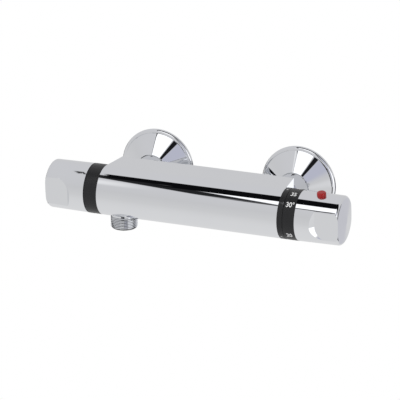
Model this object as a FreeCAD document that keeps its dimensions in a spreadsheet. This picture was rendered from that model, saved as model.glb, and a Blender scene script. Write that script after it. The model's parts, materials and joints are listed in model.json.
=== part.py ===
import FreeCAD, Part
import math
import os
import Sketcher

# Exposed bar thermostatic shower valve, in millimetres.
# Frame: the origin is on the finished wall, midway between the two G1/2 tails.
# +X runs towards the temperature knob, -Y points away from the wall and +Z is up.

# Places along the bar are measured outwards from the body's end face, and those of the
# inlets from the wall.

# ---------------------------------------------------------------- driving dimensions

DIMENSIONS = {
    # overall layout
    "inlet_spacing": 150.0,
    "wall_to_axis": 88.0,
    "union_offset": 6.0,
    "running_gap": 0.05,
    "slip_gap": 0.1,
    "free_gap": 0.3,
    "cut_past": 2.0,
    # bar body
    "bar_radius": 24.5,
    "bar_half_length": 93.0,
    "shelf_depth": 37.0,
    "underside_angle": 12.0,
    "side_slant": 4.0,
    "shelf_edge_round": 5.0,
    "bore_radius": 18.0,
    "flow_bore_end": -38.0,
    "thermo_bore_end": -53.0,
    "passage_radius": 9.0,
    "hot_channel_radius": 4.5,
    "hot_channel_depth": 27.5,
    "hot_channel_height": 8.0,
    "hot_port_position": -43.0,
    "hot_port_radius": 4.0,
    "inlet_bore_radius": 7.0,
    "inlet_bore_floor": 22.5,
    # wall inlets
    "tail_radius": 10.4775,
    "tail_depth": 14.0,
    "tail_bore": 7.0,
    "union_collar_start": 5.0,
    "union_collar_length": 4.0,
    "union_collar_radius": 18.5,
    "union_end": 26.0,
    "union_thread_radius": 13.22,
    "union_bore": 7.5,
    "washer_thickness": 2.0,
    "washer_bore": 7.0,
    "filter_flange": 0.6,
    "filter_length": 13.0,
    "filter_wall": 0.6,
    "filter_taper": 1.0,
    "nipple_collar_radius": 12.6,
    "nipple_collar_length": 2.6,
    "nipple_radius": 11.0,
    "nipple_bore": 8.2,
    "nipple_throat": 6.5,
    "nipple_engagement": 9.0,
    "nut_radius": 15.5,
    "nut_start": 15.5,
    "nut_edge": 0.8,
    "flange_radius": 38.3,
    "flange_rim": 3.6,
    "flange_rim_round": 3.4,
    "flange_rim_floor": 1.6,
    "flange_depth": 17.0,
    "flange_mouth_radius": 16.2,
    "flange_wall": 1.6,
    "flange_cone_wall": 2.2,
    "flange_hub_start": 9.6,
    "flange_hub_length": 3.4,
    # check valve cartridge
    "check_start": 31.0,
    "check_length": 16.0,
    "check_seat_bore": 4.0,
    "check_seat_thickness": 2.5,
    "check_chamber_radius": 6.2,
    "check_spider_thickness": 3.0,
    "check_port_radius": 1.4,
    "poppet_radius": 5.2,
    "poppet_thickness": 2.0,
    "poppet_stem_radius": 1.6,
    "check_spring_radius": 3.4,
    "check_wire": 0.4,
    # shower outlet
    "outlet_inset": 19.0,
    "outlet_thread_radius": 13.2205,
    "outlet_end": 36.0,
    "outlet_collar_radius": 13.6,
    "outlet_seat": 21.0,
    "outlet_collar_length": 7.5,
    "outlet_spigot_radius": 9.2,
    "outlet_bore": 6.5,
    "outlet_mouth_radius": 9.0,
    "outlet_seal": 0.9,
    "outlet_seal_play": 0.2,
    # flow cartridge
    "gasket_thickness": 2.0,
    "gasket_bore": 11.0,
    "disc_radius": 13.0,
    "disc_thickness": 4.0,
    "disc_port_radius": 3.4,
    "disc_port_circle": 7.2,
    "flow_chamber_radius": 13.3,
    "flow_chamber_end": -19.0,
    "driver_thickness": 3.0,
    "driver_radius": 12.0,
    "spindle_radius": 5.0,
    "spline_radius": 4.4,
    "spline_length": 16.0,
    "flow_window_radius": 2.8,
    "flow_groove_end": -9.8,
    "flow_seal_position": -13.0,
    "flow_seal_pitch": 4.0,
    "spindle_seal": 0.8,
    "neck_radius": 13.4,
    "neck_start": -5.0,
    # cartridge nuts and the black rings
    "thread_gap": 0.2,
    "nut_head_flats": 34.0,
    "nut_head_length": 4.2,
    "nut_cover_thickness": 2.8,
    "ring_web": 2.0,
    "ring_bore": 20.0,
    "ring_edge": 0.5,
    "trim_ring_end": 13.7,
    "index_ring_end": 5.5,
    "scale_ring_end": 17.4,
    # knobs
    "knob_length": 41.8,
    "knob_radius": 24.4,
    "knob_end_radius": 23.8,
    "knob_end_round": 3.0,
    "knob_dome": 2.5,
    "knob_cavity_radius": 17.0,
    "knob_cavity_depth": 34.0,
    "spigot_length": 9.0,
    "hub_radius": 8.0,
    "hub_length": 22.0,
    "hub_floor_depth": 1.0,
    "scoop_angle": -5.0,
    "flow_scoop_angle": 4.0,
    "scoop_floor": 19.6,
    "scoop_start": 18.8,
    "scoop_sweep": 14.0,
    "scoop_half_width": 15.0,
    "scoop_lean": 41.0,
    "grub_radius": 2.0,
    "grub_inset": 5.0,
    "button_position": 20.3,
    "button_angle": 80.0,
    "button_radius": 4.5,
    "button_height": 3.4,
    "button_edge_round": 1.5,
    "button_foot": 15.5,
    "button_spring_radius": 3.0,
    "button_wire": 0.4,
    # thermostat
    "port_groove": 1.4,
    "hot_groove_start": -47.0,
    "hot_groove_end": -39.0,
    "cold_groove_width": 13.0,
    "hot_window_radius": 2.6,
    "cold_window_radius": 3.4,
    "seal_groove_depth": 2.0,
    "seal_groove_width": 2.4,
    "seal_section": 1.0,
    "seal_one": -50.0,
    "seal_two": -31.0,
    "seal_three": -8.0,
    "mixer_bore": 13.5,
    "mixer_floor": -49.0,
    "mixed_outlet_radius": 9.0,
    "guide_radius": 11.2,
    "guide_start": -9.0,
    "shuttle_start": -36.0,
    "shuttle_length": 10.0,
    "shuttle_wall": 1.9,
    "shuttle_web": 3.0,
    "shuttle_port_radius": 1.7,
    "element_radius": 6.0,
    "element_start": -43.0,
    "element_end": -22.0,
    "element_piston_radius": 1.5,
    "element_neck_radius": 3.5,
    "element_neck_length": 3.0,
    "piston_reach": 10.0,
    "element_reserve": 2.0,
    "cup_start": -16.0,
    "cup_rim": 0.8,
    "cup_depth": 3.0,
    "clip_thickness": 1.2,
    "cup_thickness": 1.5,
    "adjuster_start": -19.0,
    "adjuster_floor": -7.5,
    "adjuster_end": -1.5,
    "adjuster_chamber": 8.1,
    "collar_start": 0.4,
    "collar_length": 2.8,
    "collar_radius": 9.0,
    "thermo_seal_position": 4.8,
    "return_spring_radius": 12.5,
    "return_wire": 0.8,
    "overtravel_spring_radius": 6.2,
    "overtravel_wire": 0.8,
    "stop_ring_radius": 14.0,
    "stop_ring_wall": 4.0,
    "stop_ring_length": 6.0,
    "stop_tooth_height": 1.8,
    "stop_tooth_width": 4.0,
}

# how many of each feature stand round an axis, and how many turns a spring has
HEXAGON = 6
SCOOPS = 2
DISC_PORTS = 2
SPIDER_PORTS = 4
WINDOWS = 6
SHORT_SPRING_TURNS = 3
SPRING_TURNS = 4
WIRE_SIDES = 8

FULL_TURN = 360.0
DEGREE = math.pi / 180.0
CLOSE = 1e-4


class Size:
    """A length or angle that keeps its value and the expression that gives it."""

    def __init__(self, value, text):
        self.value = value
        self.text = text

    def __add__(self, other):
        other = size_of(other)
        return Size(self.value + other.value, f"({self.text} + {other.text})")

    def __radd__(self, other):
        return size_of(other) + self

    def __sub__(self, other):
        other = size_of(other)
        return Size(self.value - other.value, f"({self.text} - {other.text})")

    def __rsub__(self, other):
        return size_of(other) - self

    def __mul__(self, other):
        other = size_of(other)
        return Size(self.value * other.value, f"({self.text} * {other.text})")

    def __rmul__(self, other):
        return size_of(other) * self

    def __truediv__(self, other):
        other = size_of(other)
        return Size(self.value / other.value, f"({self.text} / {other.text})")

    def __neg__(self):
        return Size(-self.value, f"(0 - {self.text})")


def size_of(number):
    """Turn a plain number into a Size."""
    if isinstance(number, Size):
        return number
    return Size(float(number), repr(float(number)))


def sine(angle):
    """Sine of an angle in degrees."""
    return Size(math.sin(angle.value * DEGREE), f"sin({angle.text} * 1 deg)")


def cosine(angle):
    """Cosine of an angle in degrees."""
    return Size(math.cos(angle.value * DEGREE), f"cos({angle.text} * 1 deg)")


class Sizes:
    """The driving dimensions, each one a cell of the spreadsheet."""

    def __init__(self, document, values):
        sheet = document.addObject("Spreadsheet::Sheet", "sizes")
        for row, (alias, value) in enumerate(values.items(), start=1):
            sheet.set(f"A{row}", alias)
            sheet.set(f"B{row}", str(value))
            sheet.setAlias(f"B{row}", alias)
            setattr(self, alias, Size(value, f"sizes.{alias}"))


doc = FreeCAD.newDocument("thermostatic_shower_valve")
d = Sizes(doc, DIMENSIONS)
doc.recompute()
pieces = []

# ---------------------------------------------------------------- modelling helpers


def bind(item, path, size):
    """Set one property of an object from a size."""
    item.setExpression(path, size_of(size).text)


def new_piece(label):
    """Start a new piece and add it to the list of those written out."""
    body = doc.addObject("PartDesign::Body", label)
    body.Label = label
    pieces.append(body)
    return body


def place(body, x=0, y=0, z=0, axis=(0, 0, 1), turn=0):
    """Put a piece at its place, turned by so many degrees about an axis."""
    spot = FreeCAD.Vector(size_of(x).value, size_of(y).value, size_of(z).value)
    angle = size_of(turn)
    body.Placement = FreeCAD.Placement(spot, FreeCAD.Rotation(FreeCAD.Vector(*axis), angle.value))
    bind(body, "Placement.Base.x", x)
    bind(body, "Placement.Base.y", y)
    bind(body, "Placement.Base.z", z)
    bind(body, "Placement.Rotation.Angle", angle)
    return body


def new_sketch(body, plane, offset=0, tilt=0):
    """Attach an empty sketch to one of the piece's own origin planes, tilted about the X axis."""
    sketch = body.newObject("Sketcher::SketchObject", f"{body.Name}_sketch")
    support = [item for item in body.Origin.OriginFeatures if item.Role == plane][0]
    sketch.AttachmentSupport = [(support, "")]
    sketch.MapMode = "FlatFace"
    offset, tilt = size_of(offset), size_of(tilt)
    turn = FreeCAD.Rotation(FreeCAD.Vector(1, 0, 0), tilt.value)
    spot = turn.multVec(FreeCAD.Vector(0, 0, offset.value))
    sketch.AttachmentOffset = FreeCAD.Placement(spot, turn)
    if tilt.value == 0:
        bind(sketch, "AttachmentOffset.Base.z", offset)
        return sketch
    bind(sketch, "AttachmentOffset.Base.y", -(offset * sine(tilt)))
    bind(sketch, "AttachmentOffset.Base.z", offset * cosine(tilt))
    bind(sketch, "AttachmentOffset.Rotation.Angle", tilt)
    return sketch


def vector_of(across, up):
    """A sketch point from two sizes."""
    return FreeCAD.Vector(across.value, up.value, 0)


def pin_point(sketch, geometry, point, across, up=None):
    """Fix a sketch point at its coordinates, or at the first one alone."""
    for kind, amount in (("DistanceX", across), ("DistanceY", up)):
        if amount is None:
            continue
        if abs(amount.value) < CLOSE:
            target = -2 if kind == "DistanceX" else -1
            sketch.addConstraint(Sketcher.Constraint("PointOnObject", geometry, point, target))
        else:
            row = sketch.addConstraint(Sketcher.Constraint(kind, geometry, point, amount.value))
            bind(sketch, f"Constraints[{row}]", amount)


def add_arc(sketch, centre, first, through, last):
    """Add an arc from three points and tell which of its ends lie on the first and the last."""
    around = [math.atan2(spot.y - centre.y, spot.x - centre.x) for spot in (first, through, last)]
    full = 2 * math.pi
    forwards = (around[1] - around[0]) % full < (around[2] - around[0]) % full
    low, high = (around[0], around[2]) if forwards else (around[2], around[0])
    circle = Part.Circle(centre, FreeCAD.Vector(0, 0, 1), first.distanceToPoint(centre))
    arc = sketch.addGeometry(Part.ArcOfCircle(circle, low, low + (high - low) % full), False)
    return (arc, 1, 2) if forwards else (arc, 2, 1)


def draw_outline(sketch, corners):
    """Draw a closed outline from corners (across, up), or (across, up, rounding) at a square corner."""
    spots = []
    for corner in corners:
        rounding = size_of(corner[2]) if len(corner) > 2 else None
        spots.append((size_of(corner[0]), size_of(corner[1]), rounding))
    path = []
    for index, (across, up, rounding) in enumerate(spots):
        if rounding is None:
            path.append([(across, up)])
            continue
        bends = []
        for near in (spots[index - 1], spots[(index + 1) % len(spots)]):
            if abs(near[0].value - across.value) > abs(near[1].value - up.value):
                way = 1 if near[0].value > across.value else -1
                bends.append((across + way * rounding, up))
            else:
                way = 1 if near[1].value > up.value else -1
                bends.append((across, up + way * rounding))
        path.append(bends)
    lines = []
    for index, bends in enumerate(path):
        start = bends[-1]
        end = path[(index + 1) % len(path)][0]
        line = Part.LineSegment(vector_of(*start), vector_of(*end))
        lines.append(sketch.addGeometry(line, False))
    for index, bends in enumerate(path):
        before = lines[index - 1]
        after = lines[index]
        pin_point(sketch, after, 1, *bends[-1])
        if len(bends) == 1:
            sketch.addConstraint(Sketcher.Constraint("Coincident", before, 2, after, 1))
            continue
        pin_point(sketch, before, 2, *bends[0])
        corner = vector_of(*spots[index][:2])
        first, last = (vector_of(*bend) for bend in bends)
        arc, near_end, far_end = add_arc(sketch, first + last - corner, first, corner, last)
        sketch.addConstraint(Sketcher.Constraint("Coincident", before, 2, arc, near_end))
        sketch.addConstraint(Sketcher.Constraint("Coincident", after, 1, arc, far_end))
        pin_point(sketch, arc, 3, bends[0][0] + bends[1][0] - spots[index][0])
    return sketch


def draw_section(sketch, corners, radius):
    """Draw straight runs from corner to corner, closed by an arc about the sketch's origin."""
    lines = []
    for start, end in zip(corners, corners[1:]):
        lines.append(sketch.addGeometry(Part.LineSegment(vector_of(*start), vector_of(*end)), False))
    for line, corner in zip(lines, corners):
        pin_point(sketch, line, 1, *corner)
    pin_point(sketch, lines[-1], 2, *corners[-1])
    for before, after in zip(lines, lines[1:]):
        sketch.addConstraint(Sketcher.Constraint("Coincident", before, 2, after, 1))
    top = vector_of(*corners[-1])
    low = vector_of(*corners[0])
    front = FreeCAD.Vector(-radius.value, 0, 0)
    arc, near_end, far_end = add_arc(sketch, FreeCAD.Vector(), top, front, low)
    sketch.addConstraint(Sketcher.Constraint("Coincident", lines[-1], 2, arc, near_end))
    sketch.addConstraint(Sketcher.Constraint("Coincident", lines[0], 1, arc, far_end))
    sketch.addConstraint(Sketcher.Constraint("PointOnObject", arc, 3, -1))
    return sketch


def draw_circle(sketch, across, up, radius):
    """Draw one circle."""
    across, up, radius = size_of(across), size_of(up), size_of(radius)
    centre = FreeCAD.Vector(across.value, up.value, 0)
    ring = sketch.addGeometry(Part.Circle(centre, FreeCAD.Vector(0, 0, 1), radius.value), False)
    row = sketch.addConstraint(Sketcher.Constraint("Radius", ring, radius.value))
    bind(sketch, f"Constraints[{row}]", radius)
    pin_point(sketch, ring, 3, across, up)
    return sketch


def draw_section_of_wire(sketch, across, up, radius):
    """Draw the many-sided section of a wire or a rubber ring."""
    corners = []
    for step in range(WIRE_SIDES):
        angle = size_of(FULL_TURN / WIRE_SIDES * (step + 0.5))
        corners.append((across + radius * cosine(angle), up + radius * sine(angle)))
    return draw_outline(sketch, corners)


def revolve(body, corners, cut=False):
    """Turn an outline (along the axis, radius) about the piece's X axis."""
    sketch = draw_outline(new_sketch(body, "XZ_Plane"), corners)
    kind = "PartDesign::Groove" if cut else "PartDesign::Revolution"
    feature = body.newObject(kind, f"{body.Name}_turned")
    feature.Profile = sketch
    feature.ReferenceAxis = (sketch, ["H_Axis"])
    feature.Angle = FULL_TURN
    body.Tip = feature
    return feature


def turned(label, corners):
    """A piece turned on a lathe about its own X axis."""
    body = new_piece(label)
    revolve(body, corners)
    return body


def soften(body, rounding, *rims):
    """Round the circular edges that lie at (position, radius) about the piece's X axis."""
    doc.recompute()
    names = []
    for position, radius in rims:
        position, radius = size_of(position).value, size_of(radius).value
        for number, edge in enumerate(body.Shape.Edges, start=1):
            curve = edge.Curve
            if not isinstance(curve, Part.Circle) or abs(curve.Radius - radius) > CLOSE:
                continue
            centre = curve.Center
            if abs(centre.x - position) < CLOSE and math.hypot(centre.y, centre.z) < CLOSE:
                names.append(f"Edge{number}")
    base = body.Tip
    feature = body.newObject("PartDesign::Fillet", f"{body.Name}_rounding")
    feature.Base = (base, names)
    feature.Radius = size_of(rounding).value
    bind(feature, "Radius", rounding)
    body.Tip = feature
    return feature


def extrude(body, sketch, length, cut=False, reverse=False, both=False):
    """Pad or pocket a sketch by a length."""
    kind = "PartDesign::Pocket" if cut else "PartDesign::Pad"
    feature = body.newObject(kind, f"{body.Name}_cut" if cut else f"{body.Name}_pad")
    feature.Profile = sketch
    feature.Length = size_of(length).value
    bind(feature, "Length", length)
    feature.Reversed = reverse
    feature.Midplane = both
    body.Tip = feature
    return feature


def around_axis(body, feature, count):
    """Repeat a feature evenly around the piece's X axis."""
    pattern = body.newObject("PartDesign::PolarPattern", f"{body.Name}_pattern")
    pattern.Originals = [feature]
    axis = [item for item in body.Origin.OriginFeatures if item.Role == "X_Axis"][0]
    pattern.Axis = (axis, [""])
    pattern.Angle = FULL_TURN
    pattern.Occurrences = count
    body.Tip = pattern
    return pattern


def radial_holes(body, position, radius, reach, count):
    """Drill holes from the axis outwards, evenly spaced around it."""
    sketch = draw_circle(new_sketch(body, "XY_Plane"), position, 0, radius)
    hole = extrude(body, sketch, reach, cut=True, reverse=True)
    return around_axis(body, hole, count)


def axial_holes(body, start, length, circle, radius, count):
    """Drill holes along the axis on a circle around it."""
    sketch = draw_circle(new_sketch(body, "YZ_Plane", start + length), circle, 0, radius)
    hole = extrude(body, sketch, length, cut=True)
    return around_axis(body, hole, count)


def coil(label, start, end, mean_radius, wire, turns):
    """A compression spring about the X axis between two faces."""
    body = new_piece(label)
    sketch = new_sketch(body, "XZ_Plane")
    draw_section_of_wire(sketch, start + wire, mean_radius, wire)
    feature = body.newObject("PartDesign::AdditiveHelix", f"{label}_wire")
    feature.Profile = sketch
    feature.ReferenceAxis = (sketch, ["H_Axis"])
    feature.Mode = "height-turns-angle"
    rise = end - start - 2 * wire
    feature.Height = rise.value
    feature.Turns = turns
    bind(feature, "Height", rise)
    body.Tip = feature
    return body


def spin(body, sketch):
    """Turn a sketch about the piece's X axis."""
    feature = body.newObject("PartDesign::Revolution", f"{body.Name}_ring")
    feature.Profile = sketch
    feature.ReferenceAxis = (sketch, ["H_Axis"])
    feature.Angle = FULL_TURN
    body.Tip = feature
    return feature


def on_bar(body, mirrored=False):
    """Place a piece at the bar's end, its X pointing outwards; the flow side is turned half round."""
    if mirrored:
        return place(body, -d.bar_half_length, -d.wall_to_axis, d.union_offset, axis=(0, 1, 0), turn=180)
    return place(body, d.bar_half_length, -d.wall_to_axis, d.union_offset)


# ---------------------------------------------------------------- bar body


def make_valve_body():
    """The cast body: a round bar with a flat shelf that runs back to the unions."""
    body = new_piece("valve_body")
    low = d.bar_radius / cosine(d.underside_angle)
    rise = sine(d.underside_angle) / cosine(d.underside_angle)
    section = new_sketch(body, "YZ_Plane")
    draw_section(section, [
        (d.bar_radius * sine(d.underside_angle), -d.bar_radius * cosine(d.underside_angle)),
        (d.shelf_depth, d.shelf_depth * rise - low),
        (d.shelf_depth, d.bar_radius),
        (size_of(0), d.bar_radius),
    ], d.bar_radius)
    extrude(body, section, 2 * d.bar_half_length, both=True)
    past = d.cut_past
    for side in (1, -1):
        wedge = new_sketch(body, "XY_Plane")
        draw_outline(wedge, [
            (side * d.bar_half_length, 0),
            (side * (d.bar_half_length - d.side_slant), d.shelf_depth),
            (side * (d.bar_half_length - d.side_slant), d.shelf_depth + past),
            (side * (d.bar_half_length + past), d.shelf_depth + past),
            (side * (d.bar_half_length + past), 0),
        ])
        extrude(body, wedge, 4 * d.bar_radius, cut=True, both=True)
    doc.recompute()
    rear = [face for face in body.Shape.Faces
            if isinstance(face.Surface, Part.Plane)
            and abs(face.CenterOfMass.y - d.shelf_depth.value) < CLOSE]
    edges = []
    for number, edge in enumerate(body.Shape.Edges, start=1):
        if any(edge.isSame(other) for face in rear for other in face.Edges):
            edges.append(f"Edge{number}")
    base = body.Tip
    rounding = body.newObject("PartDesign::Fillet", "shelf_rounding")
    rounding.Base = (base, edges)
    rounding.Radius = d.shelf_edge_round.value
    bind(rounding, "Radius", d.shelf_edge_round)
    body.Tip = rounding
    revolve(body, [
        (-d.bar_half_length - past, 0),
        (-d.bar_half_length - past, d.bore_radius),
        (-d.bar_half_length - d.flow_bore_end, d.bore_radius),
        (-d.bar_half_length - d.flow_bore_end, d.passage_radius),
        (d.bar_half_length + d.thermo_bore_end, d.passage_radius),
        (d.bar_half_length + d.thermo_bore_end, d.bore_radius),
        (d.bar_half_length + past, d.bore_radius),
        (d.bar_half_length + past, 0),
    ], cut=True)
    half = d.inlet_spacing / 2
    behind = -(d.shelf_depth + past)
    for side in (1, -1):
        socket = draw_circle(new_sketch(body, "XZ_Plane", behind), side * half, 0, d.nipple_radius)
        extrude(body, socket, d.nipple_engagement + past, cut=True, reverse=True)
    hot_inlet = draw_circle(new_sketch(body, "XZ_Plane", behind), -half, 0, d.inlet_bore_radius)
    extrude(body, hot_inlet, d.shelf_depth + past - d.inlet_bore_floor, cut=True, reverse=True)
    cold_inlet = draw_circle(new_sketch(body, "XZ_Plane", behind), half, 0, d.inlet_bore_radius)
    extrude(body, cold_inlet, d.shelf_depth + past, cut=True, reverse=True)
    port_place = d.bar_half_length + d.hot_port_position
    channel_end = port_place + d.hot_channel_radius + d.free_gap
    channel = new_sketch(body, "YZ_Plane", channel_end)
    draw_circle(channel, d.hot_channel_depth, d.hot_channel_height, d.hot_channel_radius)
    extrude(body, channel, channel_end + half, cut=True)
    port = new_sketch(body, "XZ_Plane", -d.hot_channel_depth)
    draw_circle(port, port_place, d.hot_channel_height, d.hot_port_radius)
    extrude(body, port, d.hot_channel_depth, cut=True, reverse=True)
    for radius, top in ((d.outlet_spigot_radius, d.passage_radius),
                        (d.outlet_collar_radius + d.slip_gap, d.outlet_seat)):
        outlet = new_sketch(body, "XY_Plane", -d.bar_radius - past)
        draw_circle(outlet, d.outlet_inset - d.bar_half_length, 0, radius)
        extrude(body, outlet, d.bar_radius - top + past, cut=True, reverse=True)
    place(body, 0, -d.wall_to_axis, d.union_offset)


# ---------------------------------------------------------------- wall inlets

rear_face = d.wall_to_axis - d.shelf_depth
washer_end = d.union_end + d.washer_thickness
collar_end = washer_end + d.nipple_collar_length
nipple_end = rear_face + d.nipple_engagement
check_end = d.check_start + d.check_length
poppet_face = d.check_start + d.check_seat_thickness
spider_face = check_end - d.check_spider_thickness


def at_inlet(body, side):
    """Place a piece turned about X on an inlet axis, its X pointing away from the wall."""
    return place(body, side * d.inlet_spacing / 2, 0, d.union_offset, turn=-90)


def make_eccentric_union(name, side):
    """G1/2 tail into the wall, G3/4 thread towards the bar, on two parallel axes."""
    body = new_piece(f"eccentric_union_{name}")
    collar = draw_circle(new_sketch(body, "YZ_Plane", d.union_collar_start), 0, 0, d.union_collar_radius)
    extrude(body, collar, d.union_collar_length)
    front = draw_circle(new_sketch(body, "YZ_Plane", d.union_collar_start), 0, 0, d.union_thread_radius)
    extrude(body, front, d.union_end - d.union_collar_start)
    tail = draw_circle(new_sketch(body, "YZ_Plane", -d.tail_depth), 0, -d.union_offset, d.tail_radius)
    extrude(body, tail, d.tail_depth + d.union_collar_start)
    meeting = d.union_collar_start + d.union_collar_length
    deep = draw_circle(new_sketch(body, "YZ_Plane", d.union_end), 0, 0, d.union_bore)
    extrude(body, deep, d.union_end - meeting + d.union_collar_length / 2, cut=True)
    lower = draw_circle(new_sketch(body, "YZ_Plane", meeting), 0, -d.union_offset, d.tail_bore)
    extrude(body, lower, meeting + d.tail_depth, cut=True)
    at_inlet(body, side)


def make_inlet(name, side):
    """Everything between the wall and the bar on one inlet."""
    make_eccentric_union(name, side)
    hub_bore = d.union_thread_radius + d.slip_gap
    hub_end = d.flange_hub_start + d.flange_hub_length
    cone_foot = d.flange_radius - d.flange_rim
    slope = (cone_foot - d.flange_mouth_radius) / (d.flange_depth - d.flange_rim)
    inner = cone_foot - d.flange_cone_wall
    hub_root = inner - (d.flange_hub_start - d.flange_rim) * slope
    rim_inner = inner + (d.flange_rim - d.flange_rim_floor) * slope
    flange = turned(f"wall_flange_{name}", [
        (0, d.flange_radius),
        (d.flange_rim, d.flange_radius),
        (d.flange_rim, cone_foot),
        (d.flange_depth, d.flange_mouth_radius),
        (d.flange_depth, d.nut_radius + d.slip_gap),
        (hub_end, d.nut_radius + d.slip_gap),
        (hub_end, hub_bore),
        (d.flange_hub_start, hub_bore),
        (d.flange_hub_start, hub_root),
        (d.flange_rim_floor, rim_inner),
        (0, rim_inner),
    ])
    soften(flange, d.flange_rim_round, (d.flange_rim, d.flange_radius))
    at_inlet(flange, side)
    thread_bore = d.union_thread_radius + d.slip_gap
    lip = collar_end + d.slip_gap
    edge = d.nut_edge
    nut = turned(f"union_nut_{name}", [
        (d.nut_start, d.nut_radius - edge),
        (d.nut_start + edge, d.nut_radius),
        (rear_face - edge, d.nut_radius),
        (rear_face, d.nut_radius - edge),
        (rear_face, d.nipple_radius + d.free_gap),
        (lip, d.nipple_radius + d.free_gap),
        (lip, thread_bore),
        (d.nut_start, thread_bore),
    ])
    at_inlet(nut, side)
    nipple = turned(f"inlet_nipple_{name}", [
        (washer_end, d.nipple_bore),
        (washer_end, d.nipple_collar_radius),
        (collar_end, d.nipple_collar_radius),
        (collar_end, d.nipple_radius),
        (nipple_end, d.nipple_radius),
        (nipple_end, d.nipple_throat),
        (check_end, d.nipple_throat),
        (check_end, d.nipple_bore),
    ])
    at_inlet(nipple, side)
    seat = washer_end - d.filter_flange
    washer = turned(f"union_washer_{name}", [
        (d.union_end, d.washer_bore),
        (d.union_end, d.nipple_collar_radius),
        (seat, d.nipple_collar_radius),
        (seat, d.washer_bore),
    ])
    at_inlet(washer, side)
    thimble = d.washer_bore - d.slip_gap
    tip = seat - d.filter_length
    strainer = turned(f"inlet_filter_{name}", [
        (washer_end, thimble - d.filter_wall),
        (washer_end, d.nipple_collar_radius),
        (seat, d.nipple_collar_radius),
        (seat, thimble),
        (tip, thimble - d.filter_taper),
        (tip, 0),
        (tip + d.filter_wall, 0),
        (tip + d.filter_wall, thimble - d.filter_taper - d.filter_wall),
    ])
    at_inlet(strainer, side)
    shell = d.nipple_bore - d.running_gap
    guide = d.poppet_stem_radius + d.running_gap
    cage = turned(f"check_valve_body_{name}", [
        (d.check_start, d.check_seat_bore),
        (d.check_start, shell),
        (check_end, shell),
        (check_end, guide),
        (spider_face, guide),
        (spider_face, d.check_chamber_radius),
        (poppet_face, d.check_chamber_radius),
        (poppet_face, d.check_seat_bore),
    ])
    middle = (d.check_chamber_radius + guide) / 2
    axial_holes(cage, spider_face, d.check_spider_thickness, middle, d.check_port_radius, SPIDER_PORTS)
    at_inlet(cage, side)
    back = poppet_face + d.poppet_thickness
    poppet = turned(f"check_valve_poppet_{name}", [
        (poppet_face, 0),
        (poppet_face, d.poppet_radius),
        (back, d.poppet_radius),
        (back, d.poppet_stem_radius),
        (check_end, d.poppet_stem_radius),
        (check_end, 0),
    ])
    at_inlet(poppet, side)
    spring = coil(f"check_valve_spring_{name}", back, spider_face,
                  d.check_spring_radius, d.check_wire, SPRING_TURNS)
    at_inlet(spring, side)


# ---------------------------------------------------------------- shower outlet


def make_outlet():
    """G3/4 outlet nipple screwed up into the body, sealed by a rubber ring."""
    top = d.bore_radius
    seat = d.outlet_seat
    collar = seat + d.outlet_collar_length
    middle = seat - d.outlet_seal - d.outlet_seal_play
    groove = middle - d.outlet_seal - d.outlet_seal_play
    nipple = turned("outlet_nipple", [
        (top, d.outlet_bore),
        (top, d.outlet_spigot_radius),
        (groove, d.outlet_spigot_radius),
        (groove, d.outlet_spigot_radius - 2 * d.outlet_seal),
        (seat, d.outlet_spigot_radius - 2 * d.outlet_seal),
        (seat, d.outlet_collar_radius),
        (collar, d.outlet_collar_radius),
        (collar, d.outlet_thread_radius),
        (d.outlet_end, d.outlet_thread_radius),
        (d.outlet_end, d.outlet_mouth_radius),
        (collar, d.outlet_mouth_radius),
        (collar, d.outlet_bore),
    ])
    place(nipple, d.outlet_inset - d.bar_half_length, -d.wall_to_axis, d.union_offset, axis=(0, 1, 0), turn=90)
    seal = new_piece("outlet_o_ring")
    sketch = new_sketch(seal, "XZ_Plane")
    draw_section_of_wire(sketch, middle, d.outlet_spigot_radius - d.outlet_seal, d.outlet_seal)
    spin(seal, sketch)
    place(seal, d.outlet_inset - d.bar_half_length, -d.wall_to_axis, d.union_offset, axis=(0, 1, 0), turn=90)


# ---------------------------------------------------------------- cartridge nuts and rings

ring_start = size_of(0)
web_end = ring_start + d.ring_web
head_end = web_end + d.nut_head_length
cover_start = head_end - d.nut_cover_thickness
neck_clear = d.neck_radius + d.slip_gap


def make_cartridge_nut(label, mirrored):
    """Brass nut that holds a cartridge in the bar, with a hexagon head."""
    thread = d.bore_radius - d.thread_gap
    shaft = d.spindle_radius + d.running_gap
    nut = turned(label, [
        (d.neck_start, neck_clear),
        (d.neck_start, thread),
        (web_end, thread),
        (web_end, neck_clear),
    ])
    head = new_sketch(nut, "YZ_Plane", web_end)
    corner = d.nut_head_flats / (2 * cosine(size_of(FULL_TURN / HEXAGON / 2)))
    points = []
    for step in range(HEXAGON):
        angle = size_of(FULL_TURN / HEXAGON * step)
        points.append((corner * cosine(angle), corner * sine(angle)))
    draw_outline(head, points)
    extrude(nut, head, d.nut_head_length)
    opening = draw_circle(new_sketch(nut, "YZ_Plane", cover_start), 0, 0, neck_clear)
    extrude(nut, opening, cover_start - web_end, cut=True)
    hole = draw_circle(new_sketch(nut, "YZ_Plane", head_end), 0, 0, shaft)
    extrude(nut, hole, d.nut_cover_thickness, cut=True)
    on_bar(nut, mirrored)


def make_fixed_ring(label, end, mirrored):
    """Black ring clamped by its web between the body and the nut's head."""
    ring = turned(label, [
        (ring_start, d.bore_radius + d.thread_gap),
        (ring_start, d.bar_radius),
        (end - d.ring_edge, d.bar_radius),
        (end, d.bar_radius - d.ring_edge),
        (end, d.ring_bore),
        (web_end, d.ring_bore),
        (web_end, d.bore_radius + d.thread_gap),
    ])
    on_bar(ring, mirrored)


# ---------------------------------------------------------------- knobs


def hub_start_of(start):
    """Where a knob's hub begins."""
    return start + d.knob_cavity_depth - d.hub_length


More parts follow.
